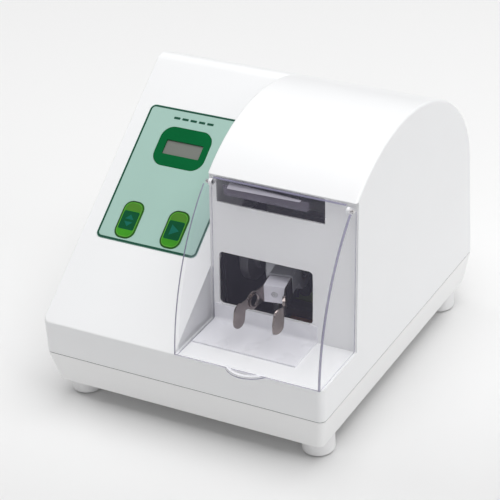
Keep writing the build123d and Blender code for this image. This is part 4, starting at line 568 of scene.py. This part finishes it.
glint = makePiece("tongue_glint", glintPoints, [(0, 1, 2, 3)], "tongueGlint", "cover")
print("tab and tongue made")

# Painted shade: a dark ribbon in the joint between the upper housing and the tray stands for the
# shade in the gap.
seamSize = {"low": 36.22, "high": 36.68, "inset": 0.2, "front": 4.5, "rear": 1.5, "steps": 6}


def seamOutline():
    width, depth = housingSize["width"], housingSize["depth"]
    front, rear = seamSize["front"], seamSize["rear"]
    corners = (
        (front, front, front, 180), (width - front, front, front, 270),
        (width - rear, depth - rear, rear, 0), (rear, depth - rear, rear, 90),
    )
    points = []
    for cx, cy, radius, start in corners:
        for a in spread(start, start + 90, seamSize["steps"]):
            inner = radius - seamSize["inset"]
            points.append((cx + inner * math.cos(math.radians(a)),
                           cy + inner * math.sin(math.radians(a))))
    return points + points[:1]


seamRows = [[place(x, y, seamSize[level]) for x, y in seamOutline()] for level in ("low", "high")]
ribbonPiece("seam_shade", seamRows, "seamShade", "housing")
print("seam shaded")


# Paper floor and soft lamps, in metres.

floorPaper = {
    "half": 6.0, "rough": 0.9, "specular": 0.1, "turn": 30.7,
    # painted shade: darker towards the front, paler towards the back
    "shades": {"From Min": -0.38, "From Max": 0.08, "To Min": 0.68, "To Max": 0.855},
}


def makeFloor():
    mesh = bpy.data.meshes.new("floor")
    half = floorPaper["half"]
    corners = [(-half, -half, 0), (half, -half, 0), (half, half, 0), (-half, half, 0)]
    mesh.from_pydata(corners, [], [(0, 1, 2, 3)])
    floor = bpy.data.objects.new("floor", mesh)
    bpy.context.scene.collection.objects.link(floor)
    material = bpy.data.materials.new("floorPaper")
    material.use_nodes = True
    nodes, links = material.node_tree.nodes, material.node_tree.links
    shader = nodes["Principled BSDF"]
    kinds = ("TexCoord", "Mapping", "SeparateXYZ", "MapRange")
    coords, turned, split, shade = (nodes.new("ShaderNode" + kind) for kind in kinds)
    turned.inputs["Rotation"].default_value = (0, 0, -math.radians(floorPaper["turn"]))
    shade.interpolation_type = "SMOOTHSTEP"
    for socket, value in floorPaper["shades"].items():
        shade.inputs[socket].default_value = value
    links.new(coords.outputs["Object"], turned.inputs["Vector"])
    links.new(turned.outputs["Vector"], split.inputs["Vector"])
    links.new(split.outputs["Y"], shade.inputs["Value"])
    links.new(shade.outputs["Result"], shader.inputs["Base Color"])
    shader.inputs["Roughness"].default_value = floorPaper["rough"]
    shader.inputs["Specular IOR Level"].default_value = floorPaper["specular"]
    mesh.materials.append(material)


lampAim = Vector((0, 0, 0.08))
lampPlaces = {
    "topSoftbox": {"at": (0.3, 0.1, 2.0), "size": (2.0, 2.0), "power": 37},
    "frontSoftbox": {"at": (0.8, -2.0, 1.2), "size": (1.4, 1.1), "power": 5},
    "rightFill": {"at": (2.0, 0.0, 1.0), "size": (1.6, 1.4), "power": 9},
    "leftFill": {"at": (-2.0, 0.3, 1.2), "size": (1.6, 1.4), "power": 11},
}
worldStrength = 0.24


def makeLamp(name, spec):
    data = bpy.data.lights.new(name, "AREA")
    data.shape = "RECTANGLE"
    data.size, data.size_y = spec["size"]
    data.energy = spec["power"]
    lamp = bpy.data.objects.new(name, data)
    bpy.context.scene.collection.objects.link(lamp)
    lamp.location = spec["at"]
    lamp.rotation_euler = (lampAim - Vector(spec["at"])).to_track_quat("-Z", "Y").to_euler()


makeFloor()
for name, spec in lampPlaces.items():
    makeLamp(name, spec)

world = bpy.data.worlds.new("studio")
bpy.context.scene.world = world
world.use_nodes = True
background = world.node_tree.nodes["Background"]
background.inputs["Color"].default_value = (1, 1, 1, 1)
background.inputs["Strength"].default_value = worldStrength
print("floor and lamps set")


# The view of the photograph.

cameraPlace = {
    "azimuth": 30.716, "elevation": 30.227, "roll": -3.928, "distance": 1323.59,
    "target": Vector((92.911, 115.0, 72.587)), "lens": 141.70, "sensor": 36.0,
}
azimuth, elevation, roll = (math.radians(cameraPlace[k]) for k in ("azimuth", "elevation", "roll"))
back = Vector((math.sin(azimuth) * math.cos(elevation),
               -math.cos(azimuth) * math.cos(elevation), math.sin(elevation)))
right = (-back).cross(Vector((0, 0, 1))).normalized()
up = right.cross(-back).normalized()
tiltedRight = right * math.cos(roll) + up * math.sin(roll)
tiltedUp = -right * math.sin(roll) + up * math.cos(roll)
turn = Matrix((tiltedRight, tiltedUp, back)).transposed().to_4x4()
cameraData = bpy.data.cameras.new("camera")
cameraData.lens, cameraData.sensor_width = cameraPlace["lens"], cameraPlace["sensor"]
camera = bpy.data.objects.new("camera", cameraData)
bpy.context.scene.collection.objects.link(camera)
eye = place(*(cameraPlace["target"] + back * cameraPlace["distance"]))
camera.matrix_world = Matrix.Translation(eye) @ turn
bpy.context.scene.camera = camera
bpy.context.scene.view_settings.view_transform = "Standard"
print("camera set")
